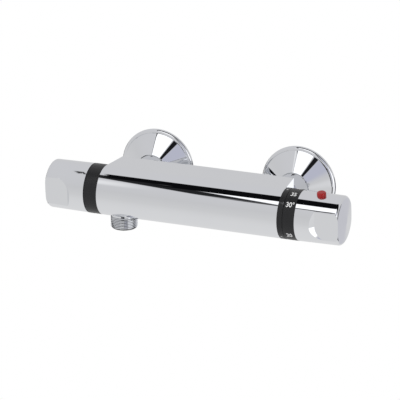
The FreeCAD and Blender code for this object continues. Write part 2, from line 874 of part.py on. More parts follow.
def make_knob(label, start, spigot, scoop_angle):
    """Knob with a domed end and two swept finger scoops; the hub sits on the spline."""
    knob = new_piece(label)
    end = start + d.knob_length
    cavity = start + d.knob_cavity_depth
    hub_start = hub_start_of(start)
    spline = d.spline_radius + d.running_gap
    outline = [
        (start, d.knob_radius),
        (end, d.knob_end_radius),
        (end + d.knob_dome, 0),
        (cavity + d.hub_floor_depth, 0),
        (cavity + d.hub_floor_depth, spline),
        (hub_start, spline),
        (hub_start, d.hub_radius),
        (cavity, d.hub_radius),
        (cavity, d.knob_cavity_radius),
    ]
    if spigot:
        plug = d.ring_bore - d.slip_gap
        outline += [
            (start - d.spigot_length, d.knob_cavity_radius),
            (start - d.spigot_length, plug),
            (start, plug),
        ]
    else:
        outline += [(start, d.knob_cavity_radius)]
    revolve(knob, outline)
    soften(knob, d.knob_end_round, (end, d.knob_end_radius))
    past = d.cut_past
    scoop = new_sketch(knob, "XZ_Plane", d.scoop_floor, -scoop_angle)
    draw_outline(scoop, [
        (start + d.scoop_start, d.scoop_half_width),
        (end + d.knob_dome + past, d.scoop_half_width),
        (end + d.knob_dome + past, -d.scoop_half_width),
        (start + d.scoop_start, -d.scoop_half_width, d.scoop_sweep),
    ])
    cut = extrude(knob, scoop, d.knob_radius - d.scoop_floor + past, cut=True, reverse=True)
    cut.TaperAngle = d.scoop_lean.value
    bind(cut, "TaperAngle", d.scoop_lean)
    around_axis(knob, cut, SCOOPS)
    return knob


def drill_for_grub(knob, start, way):
    """Radial hole through the knob and its hub for the grub screw."""
    spot = hub_start_of(start) + d.grub_inset
    sketch = draw_circle(new_sketch(knob, "XY_Plane"), spot, 0, d.grub_radius + d.running_gap)
    extrude(knob, sketch, d.knob_radius + d.cut_past, cut=True, reverse=way > 0)


def make_grub(label, start, way, mirrored):
    """Grub screw that clamps the hub on the spindle."""
    screw = new_piece(label)
    spot = hub_start_of(start) + d.grub_inset
    low = d.spline_radius if way > 0 else -d.hub_radius
    sketch = draw_circle(new_sketch(screw, "XY_Plane", low), spot, 0, d.grub_radius)
    extrude(screw, sketch, d.hub_radius - d.spline_radius)
    on_bar(screw, mirrored)


def make_knobs():
    """The flow knob on the left, and the temperature knob with its scale ring on the right."""
    flow_start = d.trim_ring_end + d.free_gap
    flow = make_knob("flow_knob", flow_start, False, d.flow_scoop_angle)
    drill_for_grub(flow, flow_start, 1)
    on_bar(flow, True)
    make_grub("flow_knob_grub_screw", flow_start, 1, True)
    warm_start = d.scale_ring_end
    warm = make_knob("temperature_knob", warm_start, True, d.scoop_angle)
    drill_for_grub(warm, warm_start, -1)
    well = new_sketch(warm, "XY_Plane", 0, 90 - d.button_angle)
    draw_circle(well, warm_start + d.button_position, 0, d.button_radius + d.running_gap)
    extrude(warm, well, d.knob_radius + d.cut_past, cut=True, reverse=True)
    on_bar(warm)
    make_grub("temperature_knob_grub_screw", warm_start, -1, False)
    scale = turned("scale_ring", [
        (d.index_ring_end + d.free_gap, d.ring_bore),
        (d.index_ring_end + d.free_gap, d.bar_radius),
        (warm_start, d.bar_radius),
        (warm_start, d.ring_bore),
    ])
    on_bar(scale)


def make_safety_button():
    """Red button that slides into the temperature knob, on its own spring."""
    button = new_piece("safety_button")
    top = d.knob_radius + d.button_height
    body = draw_circle(new_sketch(button, "YZ_Plane", d.button_foot), 0, 0, d.button_radius)
    extrude(button, body, top - d.button_foot)
    soften(button, d.button_edge_round, (top, d.button_radius))
    at_button(button)
    hub_face = d.hub_radius + d.slip_gap
    spring = coil("safety_button_spring", hub_face, d.button_foot,
                  d.button_spring_radius, d.button_wire, SPRING_TURNS)
    at_button(spring)


def at_button(body):
    """Place a piece turned about X on the button's radial line, with X pointing outwards."""
    away = d.bar_half_length + d.scale_ring_end + d.button_position
    lean = FreeCAD.Rotation(FreeCAD.Vector(1, 0, 0), 90 - d.button_angle.value)
    upright = FreeCAD.Rotation(FreeCAD.Vector(0, 1, 0), -90)
    spot = FreeCAD.Vector(away.value, -d.wall_to_axis.value, d.union_offset.value)
    body.Placement = FreeCAD.Placement(spot, lean.multiply(upright))
    bind(body, "Placement.Base.x", away)
    bind(body, "Placement.Base.y", -d.wall_to_axis)
    bind(body, "Placement.Base.z", d.union_offset)


# ---------------------------------------------------------------- flow cartridge


def make_spindle(label, corners, end_of_shaft, seals):
    """Spindle with grooves for rubber rings, ending in the spline that carries a knob."""
    outline = list(corners)
    half = d.spindle_seal + d.running_gap
    floor = d.spindle_radius - 2 * d.spindle_seal
    for position in seals:
        outline += [
            (position - half, d.spindle_radius),
            (position - half, floor),
            (position + half, floor),
            (position + half, d.spindle_radius),
        ]
    outline += [
        (end_of_shaft, d.spindle_radius),
        (end_of_shaft, d.spline_radius),
        (end_of_shaft + d.spline_length, d.spline_radius),
        (end_of_shaft + d.spline_length, 0),
    ]
    return turned(label, outline)


def make_spindle_seals(label, positions):
    """Rubber rings in a spindle's grooves, as one group."""
    seals = new_piece(label)
    sketch = new_sketch(seals, "XZ_Plane")
    for position in positions:
        draw_section_of_wire(sketch, position, d.spindle_radius - d.spindle_seal, d.spindle_seal)
    spin(seals, sketch)
    return seals


def make_flow_cartridge():
    """Ceramic-disc headwork: a quarter turn of the spindle opens the water."""
    gasket_end = d.flow_bore_end + d.gasket_thickness
    fixed_end = gasket_end + d.disc_thickness
    moving_end = fixed_end + d.disc_thickness
    driver_end = moving_end + d.driver_thickness
    shell = d.bore_radius - d.slip_gap
    gasket = turned("flow_seat_gasket", [
        (d.flow_bore_end, d.gasket_bore),
        (d.flow_bore_end, shell),
        (gasket_end, shell),
        (gasket_end, d.gasket_bore),
    ])
    on_bar(gasket, True)
    for label, start, end in (("flow_fixed_disc", gasket_end, fixed_end),
                              ("flow_moving_disc", fixed_end, moving_end)):
        disc = turned(label, [(start, 0), (start, d.disc_radius), (end, d.disc_radius), (end, 0)])
        axial_holes(disc, start, d.disc_thickness, d.disc_port_circle, d.disc_port_radius, DISC_PORTS)
        on_bar(disc, True)
    window = (driver_end + d.flow_chamber_end) / 2
    groove = shell - d.port_groove
    shaft = d.spindle_radius + d.running_gap
    housing = turned("flow_cartridge_housing", [
        (gasket_end, d.flow_chamber_radius),
        (gasket_end, shell),
        (driver_end, shell),
        (driver_end, groove),
        (d.flow_groove_end, groove),
        (d.flow_groove_end, shell),
        (d.neck_start, shell),
        (d.neck_start, d.neck_radius),
        (cover_start, d.neck_radius),
        (cover_start, shaft),
        (d.flow_chamber_end, shaft),
        (d.flow_chamber_end, d.flow_chamber_radius),
    ])
    radial_holes(housing, window, d.flow_window_radius, d.bore_radius, WINDOWS)
    on_bar(housing, True)
    seals = (d.flow_seal_position, d.flow_seal_position + d.flow_seal_pitch)
    spindle = make_spindle("flow_spindle", [
        (moving_end, 0),
        (moving_end, d.driver_radius),
        (driver_end, d.driver_radius),
        (driver_end, d.spindle_radius),
    ], hub_start_of(d.trim_ring_end + d.free_gap), seals)
    on_bar(spindle, True)
    on_bar(make_spindle_seals("flow_spindle_o_rings", seals), True)


# ---------------------------------------------------------------- thermostat cartridge


def make_thermostat_housing():
    """Sleeve with sealed hot and cold port grooves, windows and a guide for the adjuster."""
    shell = d.bore_radius - d.slip_gap
    outline = [(d.thermo_bore_end, d.mixed_outlet_radius), (d.thermo_bore_end, shell)]
    half = d.seal_groove_width / 2
    floor = shell - d.seal_groove_depth
    groove = shell - d.port_groove
    cold = d.inlet_spacing / 2 - d.bar_half_length
    reach = d.cold_groove_width / 2
    for low, high, depth in (
        (d.seal_one - half, d.seal_one + half, floor),
        (d.hot_groove_start, d.hot_groove_end, groove),
        (d.seal_two - half, d.seal_two + half, floor),
        (cold - reach, cold + reach, groove),
        (d.seal_three - half, d.seal_three + half, floor),
    ):
        outline += [(low, shell), (low, depth), (high, depth), (high, shell)]
    outline += [
        (d.neck_start, shell),
        (d.neck_start, d.neck_radius),
        (cover_start, d.neck_radius),
        (cover_start, d.guide_radius),
        (d.guide_start, d.guide_radius),
        (d.guide_start, d.mixer_bore),
        (d.mixer_floor, d.mixer_bore),
        (d.mixer_floor, d.mixed_outlet_radius),
    ]
    housing = turned("thermostat_housing", outline)
    hot = (d.hot_groove_start + d.hot_groove_end) / 2
    radial_holes(housing, hot, d.hot_window_radius, d.bore_radius, WINDOWS)
    radial_holes(housing, cold, d.cold_window_radius, d.bore_radius, WINDOWS)
    on_bar(housing)
    seals = new_piece("thermostat_o_rings")
    sketch = new_sketch(seals, "XZ_Plane")
    for position in (d.seal_one, d.seal_two, d.seal_three):
        draw_section_of_wire(sketch, position, floor + d.seal_section, d.seal_section)
    spin(seals, sketch)
    on_bar(seals)


def make_thermostat():
    """Wax element, shuttle and springs, driven by the screwed spindle."""
    make_thermostat_housing()
    shuttle_radius = d.mixer_bore - d.running_gap
    shuttle_bore = shuttle_radius - d.shuttle_wall
    shuttle_end = d.shuttle_start + d.shuttle_length
    web_start = (d.shuttle_start + shuttle_end - d.shuttle_web) / 2
    shuttle = turned("thermostat_shuttle", [
        (d.shuttle_start, shuttle_bore),
        (d.shuttle_start, shuttle_radius),
        (shuttle_end, shuttle_radius),
        (shuttle_end, shuttle_bore),
        (web_start + d.shuttle_web, shuttle_bore),
        (web_start + d.shuttle_web, d.element_radius),
        (web_start, d.element_radius),
        (web_start, shuttle_bore),
    ])
    port_circle = (shuttle_bore + d.element_radius) / 2
    axial_holes(shuttle, web_start, d.shuttle_web, port_circle, d.shuttle_port_radius, WINDOWS)
    on_bar(shuttle)
    neck_end = d.element_end + d.element_neck_length
    piston_start = neck_end - d.piston_reach
    bore = d.element_piston_radius + d.running_gap
    element = turned("thermostat_wax_element", [
        (d.element_start, 0),
        (d.element_start, d.element_radius),
        (d.element_end, d.element_radius),
        (d.element_end, d.element_neck_radius),
        (neck_end, d.element_neck_radius),
        (neck_end, bore),
        (piston_start - d.element_reserve, bore),
        (piston_start - d.element_reserve, 0),
    ])
    on_bar(element)
    piston = turned("thermostat_piston", [
        (piston_start, 0),
        (piston_start, d.element_piston_radius),
        (d.cup_start, d.element_piston_radius),
        (d.cup_start, 0),
    ])
    on_bar(piston)
    cup_radius = d.adjuster_chamber - d.slip_gap
    cup_face = d.cup_start + d.cup_thickness
    cup_end = d.cup_start + d.cup_depth
    cup = turned("overtravel_cup", [
        (d.cup_start, 0),
        (d.cup_start, cup_radius),
        (cup_end, cup_radius),
        (cup_end, cup_radius - d.cup_rim),
        (cup_face, cup_radius - d.cup_rim),
        (cup_face, 0),
    ])
    on_bar(cup)
    clip = turned("overtravel_clip", [
        (d.cup_start - d.clip_thickness, cup_radius - 2 * d.cup_rim),
        (d.cup_start - d.clip_thickness, d.adjuster_chamber),
        (d.cup_start, d.adjuster_chamber),
        (d.cup_start, cup_radius - 2 * d.cup_rim),
    ])
    on_bar(clip)
    slider = d.guide_radius - d.running_gap
    adjuster = turned("adjusting_nut", [
        (d.adjuster_start, d.adjuster_chamber),
        (d.adjuster_start, slider),
        (d.adjuster_end, slider),
        (d.adjuster_end, d.spindle_radius + d.running_gap),
        (d.adjuster_floor, d.spindle_radius + d.running_gap),
        (d.adjuster_floor, d.adjuster_chamber),
    ])
    on_bar(adjuster)
    on_bar(coil("overtravel_spring", cup_face, d.adjuster_floor,
                d.overtravel_spring_radius, d.overtravel_wire, SHORT_SPRING_TURNS))
    on_bar(coil("return_spring", d.mixer_floor, d.shuttle_start,
                d.return_spring_radius, d.return_wire, SPRING_TURNS))
    collar_end = d.collar_start + d.collar_length
    spindle = make_spindle("temperature_spindle", [
        (d.adjuster_floor, 0),
        (d.adjuster_floor, d.spindle_radius),
        (d.collar_start, d.spindle_radius),
        (d.collar_start, d.collar_radius),
        (collar_end, d.collar_radius),
        (collar_end, d.spindle_radius),
    ], hub_start_of(d.scale_ring_end), (d.thermo_seal_position,))
    on_bar(spindle)
    on_bar(make_spindle_seals("temperature_spindle_o_ring", (d.thermo_seal_position,)))
    stop = turned("stop_ring", [
        (head_end, d.stop_ring_radius - d.stop_ring_wall),
        (head_end, d.stop_ring_radius),
        (head_end + d.stop_ring_length, d.stop_ring_radius),
        (head_end + d.stop_ring_length, d.stop_ring_radius - d.stop_ring_wall),
    ])
    tooth = new_sketch(stop, "YZ_Plane", head_end)
    half = d.stop_tooth_width / 2
    low = d.stop_ring_radius - d.stop_ring_wall / 2
    draw_outline(tooth, [
        (-low, -half),
        (-low, half),
        (-d.stop_ring_radius - d.stop_tooth_height, half),
        (-d.stop_ring_radius - d.stop_tooth_height, -half),
    ])
    extrude(stop, tooth, d.stop_ring_length)
    on_bar(stop)


make_valve_body()
for side_name, side_sign in (("hot", -1), ("cold", 1)):
    make_inlet(side_name, side_sign)
make_outlet()
make_cartridge_nut("flow_cartridge_nut", True)
make_cartridge_nut("thermostat_cartridge_nut", False)
make_fixed_ring("trim_ring", d.trim_ring_end, True)
make_fixed_ring("index_ring", d.index_ring_end, False)
make_knobs()
make_safety_button()
make_flow_cartridge()
make_thermostat()

# ---------------------------------------------------------------- checks and files

doc.recompute()
faults = []
for item in doc.Objects:
    if "Invalid" in item.State or "Error" in item.State:
        faults.append(f"{item.Name}: {item.State}")
for piece in pieces:
    if piece.Shape.isNull() or not piece.Shape.isValid():
        faults.append(f"{piece.Label}: shape")
if faults:
    raise RuntimeError("; ".join(faults))
os.makedirs("parts", exist_ok=True)
for piece in pieces:
    piece.Shape.exportStep(f"parts/{piece.Label}.step")
print(len(pieces), "pieces written")
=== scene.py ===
"""Looks for an exposed bar thermostatic shower valve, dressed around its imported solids.

Everything is in metres in the valve's own frame: +X runs along the bar to the temperature knob,
-Y points away from the wall and +Z is up.
"""

import json
import logging
import math
from dataclasses import dataclass
from enum import Enum
from typing import Iterable

import bpy
from mathutils import Euler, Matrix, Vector

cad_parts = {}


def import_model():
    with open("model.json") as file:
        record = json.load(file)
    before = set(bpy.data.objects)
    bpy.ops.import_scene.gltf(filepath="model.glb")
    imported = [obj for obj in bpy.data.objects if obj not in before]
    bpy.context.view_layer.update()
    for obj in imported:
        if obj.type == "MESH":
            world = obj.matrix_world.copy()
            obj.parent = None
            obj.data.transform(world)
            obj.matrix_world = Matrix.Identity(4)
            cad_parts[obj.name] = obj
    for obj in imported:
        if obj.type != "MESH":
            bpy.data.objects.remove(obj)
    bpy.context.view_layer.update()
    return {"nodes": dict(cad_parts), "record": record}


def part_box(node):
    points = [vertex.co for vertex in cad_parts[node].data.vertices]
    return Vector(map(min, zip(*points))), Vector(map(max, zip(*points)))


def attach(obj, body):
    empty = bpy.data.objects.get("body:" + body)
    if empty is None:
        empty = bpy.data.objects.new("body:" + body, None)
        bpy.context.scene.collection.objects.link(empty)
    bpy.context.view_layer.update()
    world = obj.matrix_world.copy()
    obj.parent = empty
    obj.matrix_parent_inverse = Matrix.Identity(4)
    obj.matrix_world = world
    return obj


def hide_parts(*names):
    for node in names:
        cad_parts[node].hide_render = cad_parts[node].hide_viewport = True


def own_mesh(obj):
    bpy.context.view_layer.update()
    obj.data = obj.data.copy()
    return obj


log = logging.getLogger("shower_valve")

MM = 0.001
FULL_TURN = 2 * math.pi
UPRIGHT = Euler((0, 0, 0))
TOUCHING = MM / 1000
ROUND_STEPS = 96
THREAD_STEPS = 64
GRAIN_RANGE = (0.3, 0.7)


class Side(Enum):
    """The two water inlets, with the side of the middle that each stands on."""

    HOT = ("hot", -1.0)
    COLD = ("cold", 1.0)

    @property
    def label(self) -> str:
        """The word that the inlet's pieces end with."""
        return self.value[0]

    @property
    def sign(self) -> float:
        """Minus one on the left, plus one on the right."""
        return self.value[1]


class Body(Enum):
    """The moving groups that pieces ride on."""

    BAR = "bar"
    FLOW = "flow_control"
    TEMPERATURE = "temperature_control"
    ADJUSTER = "temperature_adjuster"


@dataclass(frozen=True)
class Layout:
    """Places of the valve's main axes and faces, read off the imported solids."""

    axis_y: float
    axis_z: float
    outlet_x: float
    outlet_low: float
    scale_start: float
    scale_end: float
    index_start: float
    index_end: float
    ring_radius: float

    @classmethod
    def from_frame(cls) -> "Layout":
        """Read the layout from the boxes of the nodes.

        Returns:
            The places of the bar's axis, the outlet and the two temperature rings.
        """
        ring_low, ring_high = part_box("scale_ring")
        index_low, index_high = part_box("index_ring")
        out_low, out_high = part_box("outlet_nipple")
        return cls(
            axis_y=(ring_low.y + ring_high.y) / 2,
            axis_z=(ring_low.z + ring_high.z) / 2,
            outlet_x=(out_low.x + out_high.x) / 2,
            outlet_low=out_low.z,
            scale_start=ring_low.x,
            scale_end=ring_high.x,
            index_start=index_low.x,
            index_end=index_high.x,
            ring_radius=(ring_high.z - ring_low.z) / 2,
        )


# ---------------------------------------------------------------- finishes


@dataclass(frozen=True)
class Groove:
    """Where a thread's grooves lie, so that painted shade can darken the finish in them.

    The place is a point on the thread's axis, and across has a one for each axis that the distance
    from it is measured on.
    """

    place: tuple[float, float, float]
    across: tuple[float, float, float]
    root: float
    crest: float
    # how much of the colour is left at the groove roots: the depth of the painted shade
    shade: float = 0.18


class Shader:
    """A material being wired up node by node."""

    def __init__(self, name: str) -> None:
        """Start an empty principled material.

        Args:
            name: What the material is called.
        """
        self.material = bpy.data.materials.new(name)
        self.material.use_nodes = True
        self.tree = self.material.node_tree
        self.tree.nodes.clear()
        self.output = self.tree.nodes.new("ShaderNodeOutputMaterial")
        self.surface = self.tree.nodes.new("ShaderNodeBsdfPrincipled")
        self.tree.links.new(self.surface.outputs["BSDF"], self.output.inputs["Surface"])
        self.place = self.tree.nodes.new("ShaderNodeTexCoord").outputs["Object"]

    def set(self, **values: object) -> None:
        """Set the shader's own sockets, with underscores for the spaces in their names."""
        for name, value in values.items():
            self.surface.inputs[name.replace("_", " ")].default_value = value

    def noise(self, scale: float, detail: float) -> bpy.types.NodeSocket:
        """A cloud pattern over the piece.

        Args:
            scale: Repeats per metre.
            detail: How many finer layers are added.

        Returns:
            The factor socket of the pattern.
        """
        node = self.tree.nodes.new("ShaderNodeTexNoise")
        node.inputs["Scale"].default_value = scale
        node.inputs["Detail"].default_value = detail
        self.tree.links.new(self.place, node.inputs["Vector"])
        return node.outputs["Fac"]

    def ranged(self, source: bpy.types.NodeSocket, low: float, high: float,
               start: float, end: float) -> bpy.types.NodeSocket:
        """A factor brought to a range.

        Args:
            source: The socket that is read.
            low: The value at the range's start.
            high: The value at its end.
            start: The factor at which the range starts.
            end: The factor at which it ends.

        Returns:
            The socket with the new value.
        """
        node = self.tree.nodes.new("ShaderNodeMapRange")
        node.inputs["From Min"].default_value = start
        node.inputs["From Max"].default_value = end
        node.inputs["To Min"].default_value = low
        node.inputs["To Max"].default_value = high
        self.tree.links.new(source, node.inputs["Value"])
        return node.outputs["Result"]

    def blend(self, factor: bpy.types.NodeSocket, first: tuple[float, float, float],
              second: tuple[float, float, float]) -> bpy.types.NodeSocket:
        """A colour between two, by a factor.

        Args:
            factor: The socket that mixes them.
            first: The colour at zero.
            second: The colour at one.

        Returns:
            The colour socket.
        """
        node = self.tree.nodes.new("ShaderNodeMix")
        node.data_type = "RGBA"
        node.inputs["A"].default_value = (*first, 1.0)
        node.inputs["B"].default_value = (*second, 1.0)
        self.tree.links.new(factor, node.inputs["Factor"])
        return node.outputs["Result"]

    def shadow(self, colour: bpy.types.NodeSocket, groove: Groove) -> bpy.types.NodeSocket:
        """Paint shade into a colour, darker towards the bottom of a thread's grooves.

        Args:
            colour: The colour at the crests.
            groove: Where the thread is.

        Returns:
            The colour socket.
        """
        socket = self.place
        for operation, values in (("SUBTRACT", groove.place), ("MULTIPLY", groove.across)):
            node = self.tree.nodes.new("ShaderNodeVectorMath")
            node.operation = operation
            self.tree.links.new(socket, node.inputs[0])
            node.inputs[1].default_value = values
            socket = node.outputs["Vector"]
        reach = self.tree.nodes.new("ShaderNodeVectorMath")
        reach.operation = "LENGTH"
        self.tree.links.new(socket, reach.inputs[0])
        # painted shade: full colour from halfway up the thread, falling to groove.shade at the roots
        light = self.ranged(reach.outputs["Value"], groove.shade, 1.0, groove.root,
                            (groove.root + groove.crest) / 2)
        node = self.tree.nodes.new("ShaderNodeMix")
        node.data_type = "RGBA"
        node.blend_type = "MULTIPLY"
        node.inputs["Factor"].default_value = 1.0
        self.tree.links.new(colour, node.inputs["A"])
        self.tree.links.new(light, node.inputs["B"])
        return node.outputs["Result"]

    def bump(self, height: bpy.types.NodeSocket, depth: float) -> None:
        """Raise the surface by a height.

        Args:
            height: The socket that gives the height, from zero to one.
            depth: The height of one, in metres.
        """
        node = self.tree.nodes.new("ShaderNodeBump")
        node.inputs["Strength"].default_value = 1.0
        node.inputs["Distance"].default_value = depth
        self.tree.links.new(height, node.inputs["Height"])
        self.tree.links.new(node.outputs["Normal"], self.surface.inputs["Normal"])

    def feed(self, name: str, source: bpy.types.NodeSocket) -> None:
        """Link a socket of the shader by its name."""
        self.tree.links.new(source, self.surface.inputs[name])


@dataclass(frozen=True)
class Finish:
    """What every finish has: two near colours in soft clouds, and a fine grain."""

    name: str
    colour: tuple[float, float, float]
    shade: tuple[float, float, float]
    smooth: float
    rough: float
    grain: float
    grain_depth: float

    def texture(self, shader: Shader, detail: float) -> None:
        """Give a material its grain, in how rough it is and how far it stands up.

        Args:
            shader: The material.
            detail: How many finer layers the grain has.
        """
        grain = shader.noise(self.grain, detail)
        shader.feed("Roughness", shader.ranged(grain, self.smooth, self.rough, *GRAIN_RANGE))
        shader.bump(grain, self.grain_depth)


@dataclass(frozen=True)
class Metal(Finish):
    """A metal finish: polished plate, turned bar or drawn wire."""

    cloud: float = 40.0
    cloud_detail: float = 4.0
    grain_detail: float = 2.0

    def build(self, groove: Groove | None = None, name: str = "") -> bpy.types.Material:
        """Wire the finish up.

        Args:
            groove: A thread whose grooves get painted shade, if the piece has one.
            name: What the material is called, if not by the finish's own name.

        Returns:
            The finished material.
        """
        shader = Shader(name or self.name)
        shader.set(Metallic=1.0)
        clouds = shader.noise(self.cloud, self.cloud_detail)
        colour = shader.blend(clouds, self.colour, self.shade)
        # painted shade, darker down in the thread's grooves
        if groove:
            colour = shader.shadow(colour, groove)
        shader.feed("Base Color", colour)
        self.texture(shader, self.grain_detail)
        return shader.material


@dataclass(frozen=True)
class Moulding(Finish):
    """A moulded plastic, rubber or ceramic finish."""

    coat: float = 0.0
    coat_rough: float = 0.04
    specular: float = 0.5
    cloud: float = 60.0
    cloud_detail: float = 3.0
    grain_detail: float = 3.0

    def build(self) -> bpy.types.Material:
        """Wire the finish up.

        Returns:
            The finished material.
        """
        shader = Shader(self.name)
        shader.set(Coat_Weight=self.coat, Coat_Roughness=self.coat_rough,
                   Specular_IOR_Level=self.specular)
        clouds = shader.noise(self.cloud, self.cloud_detail)
        shader.feed("Base Color", shader.blend(clouds, self.colour, self.shade))
        self.texture(shader, self.grain_detail)
        return shader.material


FINISHES = {
    "chrome_plate": Metal("polished_chrome", (0.82, 0.83, 0.845), (0.80, 0.81, 0.83),
                          0.004, 0.014, 900.0, 0.0000004),
    "bare_brass": Metal("machined_brass", (0.70, 0.50, 0.22), (0.60, 0.41, 0.17),
                        0.22, 0.36, 1500.0, 0.00001),
    "stainless_steel": Metal("stainless_steel", (0.60, 0.60, 0.59), (0.50, 0.50, 0.49),
                             0.16, 0.3, 2500.0, 0.000006),
    "copper_capsule": Metal("copper_capsule", (0.72, 0.40, 0.26), (0.60, 0.31, 0.19),
                            0.24, 0.38, 1200.0, 0.000008),
    "black_rubber": Moulding("black_rubber", (0.018, 0.018, 0.019), (0.035, 0.035, 0.036),
                             0.5, 0.75, 3000.0, 0.00002),
    "satin_black": Moulding("satin_black_plastic", (0.008, 0.008, 0.009), (0.013, 0.013, 0.014),
                            0.28, 0.42, 4000.0, 0.000012, specular=0.35),
    "red_button": Moulding("red_gloss_plastic", (0.36, 0.012, 0.012), (0.30, 0.01, 0.01),
                           0.14, 0.24, 1500.0, 0.000006, coat=0.2, specular=0.3),
    "white_ceramic": Moulding("white_ceramic", (0.80, 0.79, 0.75), (0.72, 0.71, 0.68),
                              0.12, 0.22, 900.0, 0.000003, coat=0.3),
    "acetal_white": Moulding("white_acetal", (0.74, 0.74, 0.71), (0.66, 0.66, 0.63),
                             0.3, 0.5, 2500.0, 0.00001),
}

INKS = {
    "print": Moulding("white_print", (0.80, 0.80, 0.79), (0.70, 0.70, 0.69),
                      0.4, 0.6, 5000.0, 0.000004),
    "faint_print": Moulding("grey_print", (0.16, 0.16, 0.165), (0.12, 0.12, 0.125),
                            0.4, 0.6, 5000.0, 0.000004),
}


# ---------------------------------------------------------------- workbench


@dataclass(frozen=True)
class PipeThread:
    """A parallel pipe thread."""

    crest: float
    depth: float = 1.162 * MM
    pitch: float = 1.814 * MM

    @property
    def root(self) -> float:
        """Radius at the foot of the thread."""
        return self.crest - self.depth


HALF_INCH = PipeThread(10.4775 * MM)
THREE_QUARTER_INCH = PipeThread(13.2205 * MM)


class Bench:
    """Edit-mode operations, worked on one piece at a time."""

    @staticmethod
    def clear() -> None:
        """Leave edit mode and deselect everything."""
        if bpy.context.object and bpy.context.object.mode != "OBJECT":
            bpy.ops.object.mode_set(mode="OBJECT")
        bpy.ops.object.select_all(action="DESELECT")

    @staticmethod
    def pick(piece: bpy.types.Object) -> None:
        """Select one piece and make it active."""
        Bench.clear()
        piece.select_set(True)
        bpy.context.view_layer.objects.active = piece

    @staticmethod
    def settle(piece: bpy.types.Object) -> bpy.types.Object:
        """Put a piece's place into its mesh, so that its object sits at the origin.

        Args:
            piece: The piece to settle.

        Returns:
            The same piece.
        """
        Bench.pick(piece)
        bpy.ops.object.transform_apply(location=True, rotation=True, scale=True)
        return piece

    @staticmethod
    def apply(piece: bpy.types.Object) -> None:
        """Apply every modifier of a piece, in order."""
        Bench.pick(piece)
        for modifier in list(piece.modifiers):
            bpy.ops.object.modifier_apply(modifier=modifier.name)

    @staticmethod
    def smooth(piece: bpy.types.Object, degrees: float = 30.0) -> None:
        """Shade a piece smooth up to an angle."""
        Bench.pick(piece)
        bpy.ops.object.shade_smooth_by_angle(angle=math.radians(degrees))

    @staticmethod
    def polyline(name: str, points: Iterable[tuple[float, float]]) -> bpy.types.Object:
        """Draw a line through points, for a lathe or a screw to turn.

        Args:
            name: What the piece is called.
            points: Points as (radius, height).

        Returns:
            The drawn line.
        """
        corners = [Vector((radius, 0.0, height)) for radius, height in points]
        Bench.clear()
        bpy.ops.mesh.primitive_plane_add(size=MM, location=corners[0])
        piece = Bench.settle(bpy.context.object)
        piece.name = name
        bpy.ops.object.mode_set(mode="EDIT")
        bpy.ops.mesh.select_mode(type="VERT")
        bpy.ops.mesh.select_all(action="SELECT")
        bpy.ops.mesh.merge(type="CENTER")
        for start, end in zip(corners, corners[1:]):
            bpy.ops.mesh.extrude_region_move(TRANSFORM_OT_translate={"value": end - start})
        bpy.ops.object.mode_set(mode="OBJECT")
        return piece

    @staticmethod
    def knit(hole_sides: int = 0) -> None:
        """Merge what touches in the active piece, and turn its faces outwards.

        Args:
            hole_sides: Holes with up to so many sides are closed, or none if it is zero.
        """
        bpy.ops.object.mode_set(mode="EDIT")
        bpy.ops.mesh.select_all(action="SELECT")
        bpy.ops.mesh.remove_doubles(threshold=TOUCHING)
        if hole_sides:
            bpy.ops.mesh.select_all(action="SELECT")
            bpy.ops.mesh.fill_holes(sides=hole_sides)
        bpy.ops.mesh.normals_make_consistent(inside=False)
        bpy.ops.object.mode_set(mode="OBJECT")

    @staticmethod
    def lathe(name: str, outline: Iterable[tuple[float, float]],
              steps: int = ROUND_STEPS) -> bpy.types.Object:
        """Turn a closed outline about the Z axis.

        Args:
            name: What the piece is called.
            outline: Points as (radius, height).
            steps: How many steps go round.

        Returns:
            The turned piece.
        """
        points = list(outline)
        piece = Bench.polyline(name, points + points[:1])
        bpy.ops.object.mode_set(mode="EDIT")
        bpy.ops.mesh.select_all(action="SELECT")
        bpy.ops.mesh.remove_doubles(threshold=TOUCHING)
        bpy.ops.mesh.select_all(action="SELECT")
        bpy.ops.mesh.spin(steps=steps, angle=FULL_TURN, center=(0, 0, 0), axis=(0, 0, 1))
        Bench.knit()
        return piece

    @staticmethod
    def thread(name: str, sizes: PipeThread, length: float) -> bpy.types.Object:
        """A pipe thread about the Z axis, rising from zero and running out at both ends.

        Args:
            name: What the piece is called.
            sizes: The thread's radius, depth and pitch.
            length: Length that the thread covers.

        Returns:
            The threaded piece, an open skin that overlaps its core.
        """
        root, crest, pitch = sizes.root, sizes.crest, sizes.pitch
        shoulder = crest - sizes.depth / 12
        flat = pitch / 10
        run_out = pitch / 4
        turns = max(1, int(length / pitch))
        piece = Bench.polyline(name, [
            (root, 0.0), (shoulder, pitch / 2 - flat), (crest, pitch / 2),
            (shoulder, pitch / 2 + flat), (root, pitch)])
        screw = piece.modifiers.new("turns", "SCREW")
        screw.axis = "Z"
        screw.angle = FULL_TURN
        screw.screw_offset = pitch
        screw.iterations = turns
        screw.steps = THREAD_STEPS
        screw.render_steps = THREAD_STEPS
        screw.use_merge_vertices = True
        screw.merge_threshold = TOUCHING
        Bench.apply(piece)
        Bench.knit()
        top = (turns + 1) * pitch
        for vertex in piece.data.vertices:
            x, y, z = vertex.co
            reach = math.hypot(x, y)
            allowed = min(reach, root + max(z - run_out, 0.0), root + max(top - run_out - z, 0.0))
            vertex.co = Vector((x * allowed / reach, y * allowed / reach, z * length / top))
        return piece

    @staticmethod
    def cut(piece: bpy.types.Object, cutter: bpy.types.Object) -> bpy.types.Object:
        """Cut one closed piece out of another.

        Args:
            piece: What is cut.
            cutter: The shape that is taken away, which stays in the scene.

        Returns:
            The cut piece.
        """
        cut = piece.modifiers.new("cut", "BOOLEAN")
        cut.operation = "DIFFERENCE"
        cut.solver = "EXACT"
        cut.object = cutter
        Bench.apply(piece)
        return piece

    @staticmethod
    def scrap(piece: bpy.types.Object) -> None:
        """Delete a piece that was only a cutter."""
        Bench.pick(piece)
        bpy.ops.object.delete()

